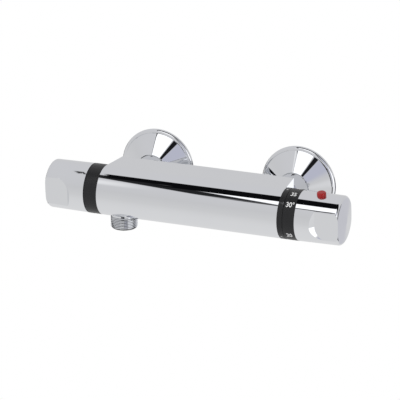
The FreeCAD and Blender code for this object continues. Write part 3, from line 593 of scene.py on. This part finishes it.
    @staticmethod
    def cut_up(piece: bpy.types.Object, strips: int) -> None:
        """Cut a flat print across its height, so that it can bend round a ring.

        Args:
            piece: The print, standing up the Y axis.
            strips: How many strips it is cut into.
        """
        heights = [vertex.co.y for vertex in piece.data.vertices]
        low, high = min(heights), max(heights)
        Bench.pick(piece)
        bpy.ops.object.mode_set(mode="EDIT")
        for step in range(1, strips):
            bpy.ops.mesh.select_all(action="SELECT")
            height = low + (high - low) * step / strips
            bpy.ops.mesh.bisect(plane_co=(0, height, 0), plane_no=(0, 1, 0))
        bpy.ops.object.mode_set(mode="OBJECT")

    @staticmethod
    def join(name: str, pieces: list[bpy.types.Object]) -> bpy.types.Object:
        """Make one piece of several.

        Args:
            name: What the joined piece is called.
            pieces: The pieces, of which the first keeps its object.

        Returns:
            The joined piece.
        """
        Bench.clear()
        for piece in pieces:
            piece.select_set(True)
        bpy.context.view_layer.objects.active = pieces[0]
        bpy.ops.object.join()
        pieces[0].name = name
        return pieces[0]

    @staticmethod
    def move(piece: bpy.types.Object, place: Vector, turn: Euler = UPRIGHT) -> bpy.types.Object:
        """Turn and place a piece, and settle it.

        Args:
            piece: The piece to move.
            place: Where its origin goes.
            turn: How it is turned.

        Returns:
            The same piece.
        """
        piece.location = place
        piece.rotation_euler = turn
        return Bench.settle(piece)


@dataclass
class Fitting:
    """What every sub-assembly needs: the layout and the finishes."""

    layout: Layout
    finishes: dict[str, bpy.types.Material]

    def finish(self, piece: bpy.types.Object, body: Body, slot: str,
               material: bpy.types.Material | None = None) -> bpy.types.Object:
        """Dress a new piece and set it to ride on its body.

        Args:
            piece: The finished piece.
            body: What it moves with.
            slot: The record's material slot.
            material: Its finish, if it isn't the slot's own.

        Returns:
            The same piece.
        """
        piece.data.materials.clear()
        piece.data.materials.append(material or self.finishes[slot])
        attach(piece, body.value)
        return piece


# ---------------------------------------------------------------- sub-assemblies


@dataclass
class OutletNipple(Fitting):
    """The threaded outlet below the bar."""

    thread: PipeThread = THREE_QUARTER_INCH
    collar_radius: float = 13.6 * MM
    collar_low: float = 12.7 * MM
    collar_high: float = 15.0 * MM
    spigot_high: float = 18.0 * MM
    spigot_radius: float = 9.1 * MM
    mouth_radius: float = 9.0 * MM
    bore_radius: float = 6.5 * MM
    edge: float = 0.35 * MM

    def build(self) -> None:
        """Model the collar, the threaded stem and its bore, upwards from the mouth."""
        lay, root, edge = self.layout, self.thread.root, self.edge
        centre = Vector((lay.outlet_x, lay.axis_y, lay.outlet_low))
        # chrome with painted shade in the thread's grooves
        plate = FINISHES["chrome_plate"].build(
            Groove(tuple(centre), (1.0, 1.0, 0.0), root, self.thread.crest), "threaded_chrome_painted_shade")
        core = Bench.lathe("outlet_core", [
            (self.mouth_radius + edge, 0.0),
            (root - edge, 0.0),
            (root, edge),
            (root, self.collar_low),
            (self.collar_radius - edge, self.collar_low),
            (self.collar_radius, self.collar_low + edge),
            (self.collar_radius, self.collar_high - edge),
            (self.collar_radius - edge, self.collar_high),
            (self.spigot_radius, self.collar_high),
            (self.spigot_radius, self.spigot_high),
            (self.bore_radius, self.spigot_high),
            (self.bore_radius, self.collar_low),
            (self.mouth_radius, self.collar_low),
            (self.mouth_radius, edge),
        ])
        turns = Bench.thread("outlet_turns", self.thread, self.collar_low)
        nipple = Bench.join("outlet_nipple_threaded", [core, turns])
        Bench.smooth(nipple)
        Bench.move(nipple, centre)
        self.finish(nipple, Body.BAR, "chrome_plate", plate)
        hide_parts("outlet_nipple")
        log.info("outlet nipple: %d faces", len(nipple.data.polygons))


@dataclass
class WallUnion(Fitting):
    """One eccentric union, with its threaded tail in the wall."""

    side: Side = Side.HOT
    tail_thread: PipeThread = HALF_INCH
    front_thread: PipeThread = THREE_QUARTER_INCH
    collar_radius: float = 18.5 * MM
    tail_length: float = 19.0 * MM
    collar_end: float = 23.0 * MM
    front_end: float = 40.0 * MM
    plate: float = 2.0 * MM
    tail_bore: float = 7.0 * MM
    front_bore: float = 7.5 * MM
    edge: float = 0.5 * MM

    def build(self) -> None:
        """Model the union from the end of its tail towards the bar, and bore its waterway."""
        node = f"eccentric_union_{self.side.label}"
        low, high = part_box(node)
        place_x = (low.x + high.x) / 2
        root, edge = self.tail_thread.root, self.edge
        collar, front = self.collar_radius, self.front_thread.crest
        rise = self.layout.axis_z
        tail = Bench.lathe(f"tail_core_{self.side.label}", [
            (0.0, 0.0), (root - edge, 0.0), (root, edge), (root, self.tail_length + edge),
            (0.0, self.tail_length + edge)])
        cup = Bench.lathe(f"union_cup_{self.side.label}", [
            (0.0, self.tail_length), (collar - edge, self.tail_length),
            (collar, self.tail_length + edge), (collar, self.collar_end - edge),
            (collar - edge, self.collar_end), (front, self.collar_end), (front, self.front_end),
            (self.front_bore, self.front_end), (self.front_bore, self.tail_length + self.plate),
            (0.0, self.tail_length + self.plate)])
        turn = Euler((math.pi / 2, 0, 0))
        # brass with painted shade in the tail thread's grooves
        brass = FINISHES["bare_brass"].build(
            Groove((place_x, 0.0, 0.0), (1.0, 0.0, 1.0), root, self.tail_thread.crest),
            f"threaded_brass_painted_shade_{self.side.label}")
        Bench.move(tail, Vector((place_x, high.y, 0.0)), turn)
        Bench.move(cup, Vector((place_x, high.y, rise)), turn)
        Bench.clear()
        bpy.ops.mesh.primitive_cylinder_add(
            vertices=ROUND_STEPS, radius=self.tail_bore, depth=self.front_end, rotation=turn,
            location=(place_x, high.y + edge + self.front_end / 2 - self.collar_end, 0.0))
        drill = Bench.settle(bpy.context.object)
        for piece in (tail, cup):
            Bench.cut(piece, drill)
        Bench.scrap(drill)
        turns = Bench.thread(f"tail_turns_{self.side.label}", self.tail_thread, self.tail_length)
        Bench.move(turns, Vector((place_x, high.y, 0.0)), turn)
        union = Bench.join(f"{node}_threaded", [cup, tail, turns])
        Bench.smooth(union)
        self.finish(union, Body.BAR, "bare_brass", brass)
        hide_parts(node)
        log.info("%s: %d faces", node, len(union.data.polygons))


@dataclass
class GrubScrew(Fitting):
    """One grub screw with its hexagon socket, in the hub of a knob."""

    node: str = "flow_knob_grub_screw"
    body: Body = Body.FLOW
    socket_radius: float = 1.15 * MM
    socket_depth: float = 1.8 * MM
    socket_sides: int = 6
    edge: float = 0.25 * MM
    steps: int = 32

    def build(self) -> None:
        """Model the screw upright and turn its socket away from the bar's axis."""
        low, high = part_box(self.node)
        centre = (low + high) / 2
        length = high.z - low.z
        radius = (high.x - low.x) / 2
        screw = Bench.lathe(f"{self.node}_core", [
            (0.0, 0.0), (radius - self.edge, 0.0), (radius, self.edge),
            (radius, length - self.edge), (radius - self.edge, length), (0.0, length)],
            steps=self.steps)
        Bench.clear()
        bpy.ops.mesh.primitive_cylinder_add(
            vertices=self.socket_sides, radius=self.socket_radius, depth=2 * self.socket_depth,
            location=(0, 0, length))
        key = Bench.settle(bpy.context.object)
        Bench.cut(screw, key)
        Bench.scrap(key)
        screw.name = f"{self.node}_socket"
        Bench.smooth(screw)
        upwards = centre.z > self.layout.axis_z
        start = low.z if upwards else high.z
        turn = Euler((0 if upwards else math.pi, 0, 0))
        Bench.move(screw, Vector((centre.x, centre.y, start)), turn)
        self.finish(screw, self.body, "stainless_steel")
        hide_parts(self.node)
        log.info("%s: %d faces", self.node, len(screw.data.polygons))


@dataclass
class CoilSpring(Fitting):
    """One compression spring, wound at its full length; its joint and travel are carried but not
    used.
    """

    node: str
    body: Body
    joint: str
    foot: Vector
    way: Vector
    length: float
    travel: float
    mean_radius: float
    wire: float
    turns: int
    steps: int = 32
    sides: int = 12
    shade_angle: float = 60.0

    def build(self) -> None:
        """Wind the spring upright and stand it on its fixed end."""
        Bench.clear()
        bpy.ops.mesh.primitive_circle_add(
            vertices=self.sides, radius=self.wire, location=(self.mean_radius, 0, self.wire),
            rotation=(math.pi / 2, 0, 0))
        spring = Bench.settle(bpy.context.object)
        spring.name = f"{self.node}_wound"
        winding = spring.modifiers.new("winding", "SCREW")
        winding.axis = "Z"
        winding.angle = FULL_TURN
        winding.screw_offset = (self.length - 2 * self.wire) / self.turns
        winding.iterations = self.turns
        winding.steps = self.steps
        winding.render_steps = self.steps
        Bench.apply(spring)
        Bench.knit(self.sides)
        Bench.smooth(spring, self.shade_angle)
        Bench.move(spring, self.foot, self.way.to_track_quat("Z", "Y").to_euler())
        self.finish(spring, self.body, "stainless_steel")
        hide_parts(self.node)
        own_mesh(spring)
        log.info("%s: %d turns", self.node, self.turns)


@dataclass
class Springs(Fitting):
    """Every spring inside the valve."""

    seat: float = 0.06 * MM
    button_angle: float = 80.0
    button_seat: float = 8.1 * MM
    button_foot: float = 15.5 * MM

    def along(self, node: str, axis: int, way: float, **facts: object) -> CoilSpring:
        """A spring that lies along one of the valve's axes.

        Args:
            node: Which spring it is.
            axis: Number of the axis that it lies along.
            way: Plus one if its fixed end is the low one, minus one if it is the high one.
            facts: The rest of what a spring needs.

        Returns:
            The spring, ready to be built.
        """
        low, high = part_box(node)
        foot = (low + high) / 2
        foot[axis] = low[axis] if way > 0 else high[axis]
        direction = Vector((0.0, 0.0, 0.0))
        direction[axis] = way
        return CoilSpring(self.layout, self.finishes, node, foot=foot, way=direction,
                          length=high[axis] - low[axis], **facts)

    def build(self) -> None:
        """Wind all five."""
        lay = self.layout
        for side in Side:
            self.along(f"check_valve_spring_{side.label}", 1, 1.0, body=Body.BAR,
                       joint=f"check_valve_{side.label}_open", travel=3.0 * MM,
                       mean_radius=3.4 * MM, wire=0.4 * MM, turns=4).build()
        self.along("return_spring", 0, 1.0, body=Body.BAR, joint="thermostat_stroke",
                   travel=1.2 * MM, mean_radius=12.5 * MM, wire=0.8 * MM, turns=4).build()
        self.along("overtravel_spring", 0, -1.0, body=Body.ADJUSTER, joint="overtravel_slide",
                   travel=2.0 * MM, mean_radius=6.2 * MM, wire=0.8 * MM, turns=3).build()
        low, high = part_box("safety_button")
        tilt = math.radians(self.button_angle)
        way = Vector((0.0, -math.cos(tilt), math.sin(tilt)))
        foot = Vector(((low.x + high.x) / 2, lay.axis_y, lay.axis_z))
        foot += way * (self.button_seat + self.seat)
        CoilSpring(self.layout, self.finishes, "safety_button_spring", Body.TEMPERATURE,
                   "safety_button_press", foot, way,
                   length=self.button_foot - self.button_seat - 2 * self.seat, travel=2.0 * MM,
                   mean_radius=3.0 * MM, wire=0.4 * MM, turns=4).build()


@dataclass
class TemperatureScale(Fitting):
    """White numbers on the turning ring and the mark on the fixed one."""

    numbers: tuple[tuple[str, float], ...] = (
        ("20", -36.5), ("30°", 39.5), ("35", 69.0), ("40", 104.0), ("50", 164.0),
    )
    digit_size: float = 7.0 * MM
    digit_squeeze: float = 0.86
    digit_weight: float = 0.12 * MM
    digit_steps: int = 4
    strips: int = 8
    print_height: float = 0.06 * MM
    mark_angle: float = 41.5
    mark_length: float = 3.0 * MM
    mark_width: float = 0.45 * MM
    tick_angles: tuple[float, ...] = (86.0, -46.5)
    tick_length: float = 1.5 * MM
    tick_width: float = 0.9 * MM

    def around(self, piece: bpy.types.Object, centre: float, angle: float) -> None:
        """Bend a flat print round the ring and settle it there.

        Args:
            piece: Flat print about the origin, with X across the figures and Y up them.
            centre: Place of the print's middle along the bar.
            angle: Angle of its middle, in degrees up from the front.
        """
        radius = self.layout.ring_radius
        for vertex in piece.data.vertices:
            along, up, proud = vertex.co
            phi = math.radians(angle) + up / radius
            reach = radius + proud
            vertex.co = Vector((
                centre + along,
                self.layout.axis_y - reach * math.cos(phi),
                self.layout.axis_z + reach * math.sin(phi),
            ))

    def figure(self, text: str, angle: float) -> bpy.types.Object:
        """Print one figure on the ring.

        Args:
            text: The figure.
            angle: Angle of its middle, in degrees up from the front.

        Returns:
            The printed piece.
        """
        lay = self.layout
        Bench.clear()
        bpy.ops.object.text_add(location=(0, 0, 0))
        writing = bpy.context.object
        writing.data.body = text
        writing.data.size = self.digit_size
        writing.data.offset = self.digit_weight
        writing.data.align_x = "CENTER"
        writing.data.align_y = "CENTER"
        writing.data.extrude = self.print_height / 2
        writing.data.resolution_u = self.digit_steps
        bpy.ops.object.convert(target="MESH")
        print_piece = bpy.context.object
        print_piece.name = "scale_figure_" + "".join(c for c in text if c.isdigit())
        print_piece.scale.x = self.digit_squeeze
        Bench.settle(print_piece)
        Bench.cut_up(print_piece, self.strips)
        self.around(print_piece, (lay.scale_start + lay.scale_end) / 2, angle)
        return self.finish(print_piece, Body.TEMPERATURE, "satin_black", self.finishes["print"])

    def mark(self, name: str, body: Body, centre: float, angle: float,
             length: float, width: float, ink: str = "print") -> bpy.types.Object:
        """Print one plain bar on a ring.

        Args:
            name: What the piece is called.
            body: What it moves with.
            centre: Place of its middle along the bar.
            angle: Angle of its middle, in degrees up from the front.
            length: Length along the bar.
            width: Length round the ring.
            ink: Which print it has.

        Returns:
            The printed piece.
        """
        Bench.clear()
        bpy.ops.mesh.primitive_cube_add(size=1.0, location=(0, 0, 0))
        piece = bpy.context.object
        piece.name = name
        piece.scale = (length, width, self.print_height)
        Bench.settle(piece)
        Bench.cut_up(piece, self.strips)
        self.around(piece, centre, angle)
        return self.finish(piece, body, "satin_black", self.finishes[ink])

    def build(self) -> None:
        """Print the figures and the marks."""
        lay = self.layout
        for text, angle in self.numbers:
            self.figure(text, angle)
        foot = lay.index_end - 2 * self.mark_width
        self.mark("pointer_bar", Body.BAR, foot - self.mark_length / 2, self.mark_angle,
                  self.mark_length, self.mark_width, "faint_print")
        self.mark("pointer_foot", Body.BAR, foot, self.mark_angle,
                  self.mark_width, self.mark_length, "faint_print")
        for number, angle in enumerate(self.tick_angles, start=1):
            self.mark(f"index_tick_{number}", Body.BAR, (lay.index_start + lay.index_end) / 2,
                      angle, self.tick_length, self.tick_width)
        log.info("temperature scale: %d figures", len(self.numbers))


# ---------------------------------------------------------------- studio


@dataclass(frozen=True)
class Panel:
    """A light or dark panel that hangs far off, placed by the directions that it covers.

    The first range is the angle round the X axis, in degrees up from the front, and the second is
    how far the direction leans to +X, as a sine. Slant moves the second range along with the angle,
    and tilt moves the first with the lean.
    """

    colour: tuple[float, float, float]
    around: tuple[float, float]
    along: tuple[float, float]
    slant: float = 0.0
    tilt: float = 0.0
    soft_around: float = 1.0
    soft_along: float = 0.008


@dataclass(frozen=True)
class Disc:
    """A round panel, placed by its middle and its half-width in degrees.

    Its edge is softened by a cosine of soft to each side.
    """

    colour: tuple[float, float, float]
    middle: tuple[float, float, float]
    half_width: float
    soft: float = 0.002


@dataclass(frozen=True)
class Lamp:
    """A soft lamp that points at the valve, with the width of its panel and its power in watts."""

    name: str
    place: tuple[float, float, float]
    width: float
    power: float


# tones of the room's walls, each with its height from the floor at zero to the ceiling at one
WALL_TONES = (
    (0.0, (0.79, 0.79, 0.795)),
    (0.27, (0.71, 0.71, 0.715)),
    (0.65, (0.665, 0.665, 0.675)),
    (1.0, (0.69, 0.69, 0.71)),
)
LAMPS = (
    Lamp("key_lamp", (-1.2, -1.6, 1.8), 1.2, 22.0),
    Lamp("fill_lamp", (1.6, -1.4, 1.0), 1.4, 12.0),
)
PANELS = (
    Panel((0.55, 0.56, 0.66), (-12.0, 58.0), (0.385, 0.70), soft_around=6.0, soft_along=0.06),
    Panel((1.40, 1.40, 1.42), (-68.0, 75.0), (0.80, 1.1), soft_around=3.0, soft_along=0.05),
    Panel((1.30, 1.30, 1.32), (-100.0, -77.0), (0.50, 1.1), soft_around=3.0, soft_along=0.03),
    Panel((0.63, 0.63, 0.67), (-175.0, -135.0), (0.2, 0.6), soft_around=8.0, soft_along=0.08),
    Panel((0.05, 0.05, 0.055), (-178.0, -125.0), (-0.92, -0.56), soft_around=2.0, soft_along=0.02),
    Panel((0.92, 0.92, 0.93), (42.0, 60.0), (-0.408, -0.380), soft_around=7.0, soft_along=0.012),
    Panel((1.35, 1.35, 1.37), (44.5, 80.0), (-0.313, 0.212), slant=-0.00175, tilt=16.0,
          soft_around=2.0),
    Panel((0.02, 0.02, 0.022), (44.5, 80.0), (-0.345, -0.313), slant=-0.00175, tilt=16.0,
          soft_around=2.0, soft_along=0.003),
    Panel((0.03, 0.03, 0.033), (41.2, 44.5), (-0.345, -0.15), tilt=16.0, soft_around=0.8,
          soft_along=0.01),
    Panel((0.012, 0.012, 0.014), (22.0, 56.0), (0.245, 0.385), soft_around=4.0, soft_along=0.012),
    Panel((0.06, 0.06, 0.065), (-33.0, -12.0), (-0.05, 0.40), soft_around=3.0, soft_along=0.03),
    Panel((0.004, 0.004, 0.005), (76.0, 95.0), (-0.3885, 1.1), soft_around=0.9, soft_along=0.001),
    Panel((0.004, 0.004, 0.005), (68.0, 78.0), (-0.370, 1.1), soft_around=0.9, soft_along=0.006),
    Panel((0.02, 0.02, 0.022), (79.0, 91.0), (-0.4211, -0.4189), soft_around=2.5, soft_along=0.0008),
)
DISCS = (
    Disc((0.10, 0.10, 0.12), (0.774, 0.542, -0.326), 21.75),
)


class Room:
    """The room that the chrome reflects, wired up in the world's nodes."""

    def __init__(self) -> None:
        """Start an empty world and read the direction of each ray."""
        self.world = bpy.data.worlds.new("studio_room")
        self.world.use_nodes = True
        self.tree = self.world.node_tree
        self.tree.nodes.clear()
        self.ray = self.tree.nodes.new("ShaderNodeTexCoord").outputs["Generated"]
        split = self.tree.nodes.new("ShaderNodeSeparateXYZ")
        self.tree.links.new(self.ray, split.inputs[0])
        self.lean, ahead, self.height = split.outputs
        front = self.reckon("MULTIPLY", ahead, -1.0)
        turn = self.reckon("ARCTAN2", self.height, front)
        self.around = self.reckon("MULTIPLY", turn, 180 / math.pi)

    def reckon(self, operation: str, first: bpy.types.NodeSocket,
               second: bpy.types.NodeSocket | float) -> bpy.types.NodeSocket:
        """One sum of two values.

        Args:
            operation: What is done with them.
            first: The first value's socket.
            second: The second value's socket, or a number.

        Returns:
            The socket of the outcome.
        """
        node = self.tree.nodes.new("ShaderNodeMath")
        node.operation = operation
        self.tree.links.new(first, node.inputs[0])
        if isinstance(second, float):
            node.inputs[1].default_value = second
        else:
            self.tree.links.new(second, node.inputs[1])
        return node.outputs[0]

    def step(self, value: bpy.types.NodeSocket, start: float, end: float) -> bpy.types.NodeSocket:
        """A smooth step from zero to one.

        Args:
            value: The socket that is read.
            start: Where it is still zero.
            end: Where it is one.

        Returns:
            The socket of the step.
        """
        node = self.tree.nodes.new("ShaderNodeMapRange")
        node.interpolation_type = "SMOOTHSTEP"
        node.inputs["From Min"].default_value = start
        node.inputs["From Max"].default_value = end
        self.tree.links.new(value, node.inputs["Value"])
        return node.outputs["Result"]

    def band(self, value: bpy.types.NodeSocket, low: float, high: float,
             soft: float) -> bpy.types.NodeSocket:
        """A band with soft edges, one inside and zero outside.

        Args:
            value: The socket that is read.
            low: Where the band starts.
            high: Where it ends.
            soft: Half the width of each edge.

        Returns:
            The socket of the band.
        """
        rise = self.step(value, low - soft, low + soft)
        past = self.step(value, high - soft, high + soft)
        return self.reckon("SUBTRACT", rise, past)

    def tint(self, factor: bpy.types.NodeSocket, under: bpy.types.NodeSocket,
             colour: tuple[float, float, float]) -> bpy.types.NodeSocket:
        """Lay a colour over another by a factor.

        Args:
            factor: The socket that says how much of it shows.
            under: The colour beneath.
            colour: The colour that is laid over it.

        Returns:
            The colour socket.
        """
        node = self.tree.nodes.new("ShaderNodeMix")
        node.data_type = "RGBA"
        self.tree.links.new(factor, node.inputs["Factor"])
        self.tree.links.new(under, node.inputs["A"])
        node.inputs["B"].default_value = (*colour, 1.0)
        return node.outputs["Result"]

    def walls(self) -> bpy.types.NodeSocket:
        """Pale walls, lightest at the floor.

        Returns:
            The socket of their colour.
        """
        ramp = self.tree.nodes.new("ShaderNodeValToRGB")
        tones = ramp.color_ramp.elements
        lowest, *between, highest = WALL_TONES
        for element, (height, tone) in zip(tones, (lowest, highest)):
            element.position = height
            element.color = (*tone, 1.0)
        for height, tone in between:
            tones.new(height).color = (*tone, 1.0)
        self.tree.links.new(self.step(self.height, -1.0, 1.0), ramp.inputs["Fac"])
        return ramp.outputs["Color"]

    def hang(self, panel: Panel, under: bpy.types.NodeSocket) -> bpy.types.NodeSocket:
        """Hang one panel over what is there.

        Args:
            panel: The panel.
            under: The colour behind it.

        Returns:
            The socket of the colour with the panel.
        """
        past = self.reckon("SUBTRACT", self.around, panel.around[0])
        shift = self.reckon("MULTIPLY", past, panel.slant)
        level = self.reckon("SUBTRACT", self.lean, shift)
        turned = self.reckon("ADD", self.around, self.reckon("MULTIPLY", self.lean, panel.tilt))
        mask = self.reckon("MULTIPLY", self.band(turned, *panel.around, panel.soft_around),
                           self.band(level, *panel.along, panel.soft_along))
        return self.tint(mask, under, panel.colour)

    def pin(self, disc: Disc, under: bpy.types.NodeSocket) -> bpy.types.NodeSocket:
        """Hang one round panel over what is there.

        Args:
            disc: The round panel.
            under: The colour behind it.

        Returns:
            The socket of the colour with the panel.
        """
        node = self.tree.nodes.new("ShaderNodeVectorMath")
        node.operation = "DOT_PRODUCT"
        self.tree.links.new(self.ray, node.inputs[0])
        node.inputs[1].default_value = Vector(disc.middle).normalized()
        rim = math.cos(math.radians(disc.half_width))
        mask = self.step(node.outputs["Value"], rim - disc.soft, rim + disc.soft)
        return self.tint(mask, under, disc.colour)

    def build(self) -> None:
        """Hang every panel, and put pure white behind the valve."""
        colour = self.walls()
        for panel in PANELS:
            colour = self.hang(panel, colour)
        for disc in DISCS:
            colour = self.pin(disc, colour)
        room = self.tree.nodes.new("ShaderNodeBackground")
        self.tree.links.new(colour, room.inputs["Color"])
        white = self.tree.nodes.new("ShaderNodeBackground")
        white.inputs["Color"].default_value = (1, 1, 1, 1)
        path = self.tree.nodes.new("ShaderNodeLightPath")
        mix = self.tree.nodes.new("ShaderNodeMixShader")
        output = self.tree.nodes.new("ShaderNodeOutputWorld")
        self.tree.links.new(path.outputs["Is Camera Ray"], mix.inputs[0])
        self.tree.links.new(room.outputs[0], mix.inputs[1])
        self.tree.links.new(white.outputs[0], mix.inputs[2])
        self.tree.links.new(mix.outputs[0], output.inputs["Surface"])
        bpy.context.scene.world = self.world


@dataclass
class Studio:
    """Camera, floor and lamps."""

    azimuth: float = 21.99
    elevation: float = 19.02
    distance: float = 2.493
    lens: float = 233.4
    sensor: float = 36.0
    nearest: float = 0.05
    farthest: float = 60.0
    target: tuple[float, float, float] = (0.0057, -0.088, 0.0078)
    floor_drop: float = 0.30
    floor_size: float = 30.0

    def direction(self) -> Vector:
        """Unit vector from the valve to the camera."""
        around, up = math.radians(self.azimuth), math.radians(self.elevation)
        level = math.cos(up)
        return Vector((math.sin(around) * level, -math.cos(around) * level, math.sin(up)))

    def camera(self) -> None:
        """Set the camera at the photograph's angle."""
        data = bpy.data.cameras.new("studio_camera")
        data.lens = self.lens
        data.sensor_width = self.sensor
        data.clip_start = self.nearest
        data.clip_end = self.farthest
        camera = bpy.data.objects.new("studio_camera", data)
        bpy.context.scene.collection.objects.link(camera)
        back = self.direction()
        camera.location = Vector(self.target) + back * self.distance
        camera.rotation_euler = (-back).to_track_quat("-Z", "Y").to_euler()
        bpy.context.scene.camera = camera

    def floor(self) -> None:
        """Plain pale floor, well below the valve, which hangs on its wall fittings."""
        Bench.clear()
        bpy.ops.mesh.primitive_plane_add(size=self.floor_size, location=(0, 0, -self.floor_drop))
        floor = Bench.settle(bpy.context.object)
        floor.name = "studio_floor"
        shader = Shader("pale_floor")
        shader.set(Base_Color=(0.86, 0.86, 0.86, 1.0), Roughness=0.9, Specular_IOR_Level=0.1)
        glow = shader.tree.nodes.new("ShaderNodeEmission")
        glow.inputs["Color"].default_value = (1, 1, 1, 1)
        path = shader.tree.nodes.new("ShaderNodeLightPath")
        mix = shader.tree.nodes.new("ShaderNodeMixShader")
        shader.tree.links.new(path.outputs["Is Camera Ray"], mix.inputs[0])
        shader.tree.links.new(shader.surface.outputs[0], mix.inputs[1])
        shader.tree.links.new(glow.outputs[0], mix.inputs[2])
        shader.tree.links.new(mix.outputs[0], shader.output.inputs["Surface"])
        floor.data.materials.append(shader.material)
        floor.visible_glossy = False

    def light(self, lamp: Lamp) -> None:
        """Hang a lamp that lights the valve and shows in no reflection."""
        data = bpy.data.lights.new(lamp.name, "AREA")
        data.size = lamp.width
        data.energy = lamp.power
        stand = bpy.data.objects.new(lamp.name, data)
        bpy.context.scene.collection.objects.link(stand)
        stand.location = lamp.place
        aim = Vector(self.target) - Vector(lamp.place)
        stand.rotation_euler = aim.to_track_quat("-Z", "Y").to_euler()
        stand.visible_glossy = False

    def build(self) -> None:
        """Set the whole studio up."""
        self.camera()
        Room().build()
        self.floor()
        for lamp in LAMPS:
            self.light(lamp)
        log.info("studio ready")


# ---------------------------------------------------------------- the valve


def build_finishes() -> dict[str, bpy.types.Material]:
    """Make every finish once.

    Returns:
        The materials by slot name, and the print inks by their own.
    """
    return {name: finish.build() for name, finish in {**FINISHES, **INKS}.items()}


def dress_nodes(frame: dict, finishes: dict[str, bpy.types.Material]) -> None:
    """Give every solid the finish of its slot.

    Args:
        finishes: The materials by slot name.
    """
    for row in frame["record"]["subparts"]:
        node = frame["nodes"][row["node"]]
        node.data.materials.clear()
        node.data.materials.append(finishes[row["material_slot"]])


def main() -> None:
    """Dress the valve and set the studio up."""
    logging.basicConfig(level=logging.INFO, format="%(name)s %(message)s")
    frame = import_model()
    bpy.context.scene.view_settings.view_transform = "Standard"
    finishes = build_finishes()
    dress_nodes(frame, finishes)
    layout = Layout.from_frame()
    OutletNipple(layout, finishes).build()
    for side in Side:
        WallUnion(layout, finishes, side).build()
    GrubScrew(layout, finishes, "flow_knob_grub_screw", Body.FLOW).build()
    GrubScrew(layout, finishes, "temperature_knob_grub_screw", Body.TEMPERATURE).build()
    Springs(layout, finishes).build()
    TemperatureScale(layout, finishes).build()
    Studio().build()
    Bench.clear()
    log.info("valve dressed")


if __name__ == "__main__":
    main()
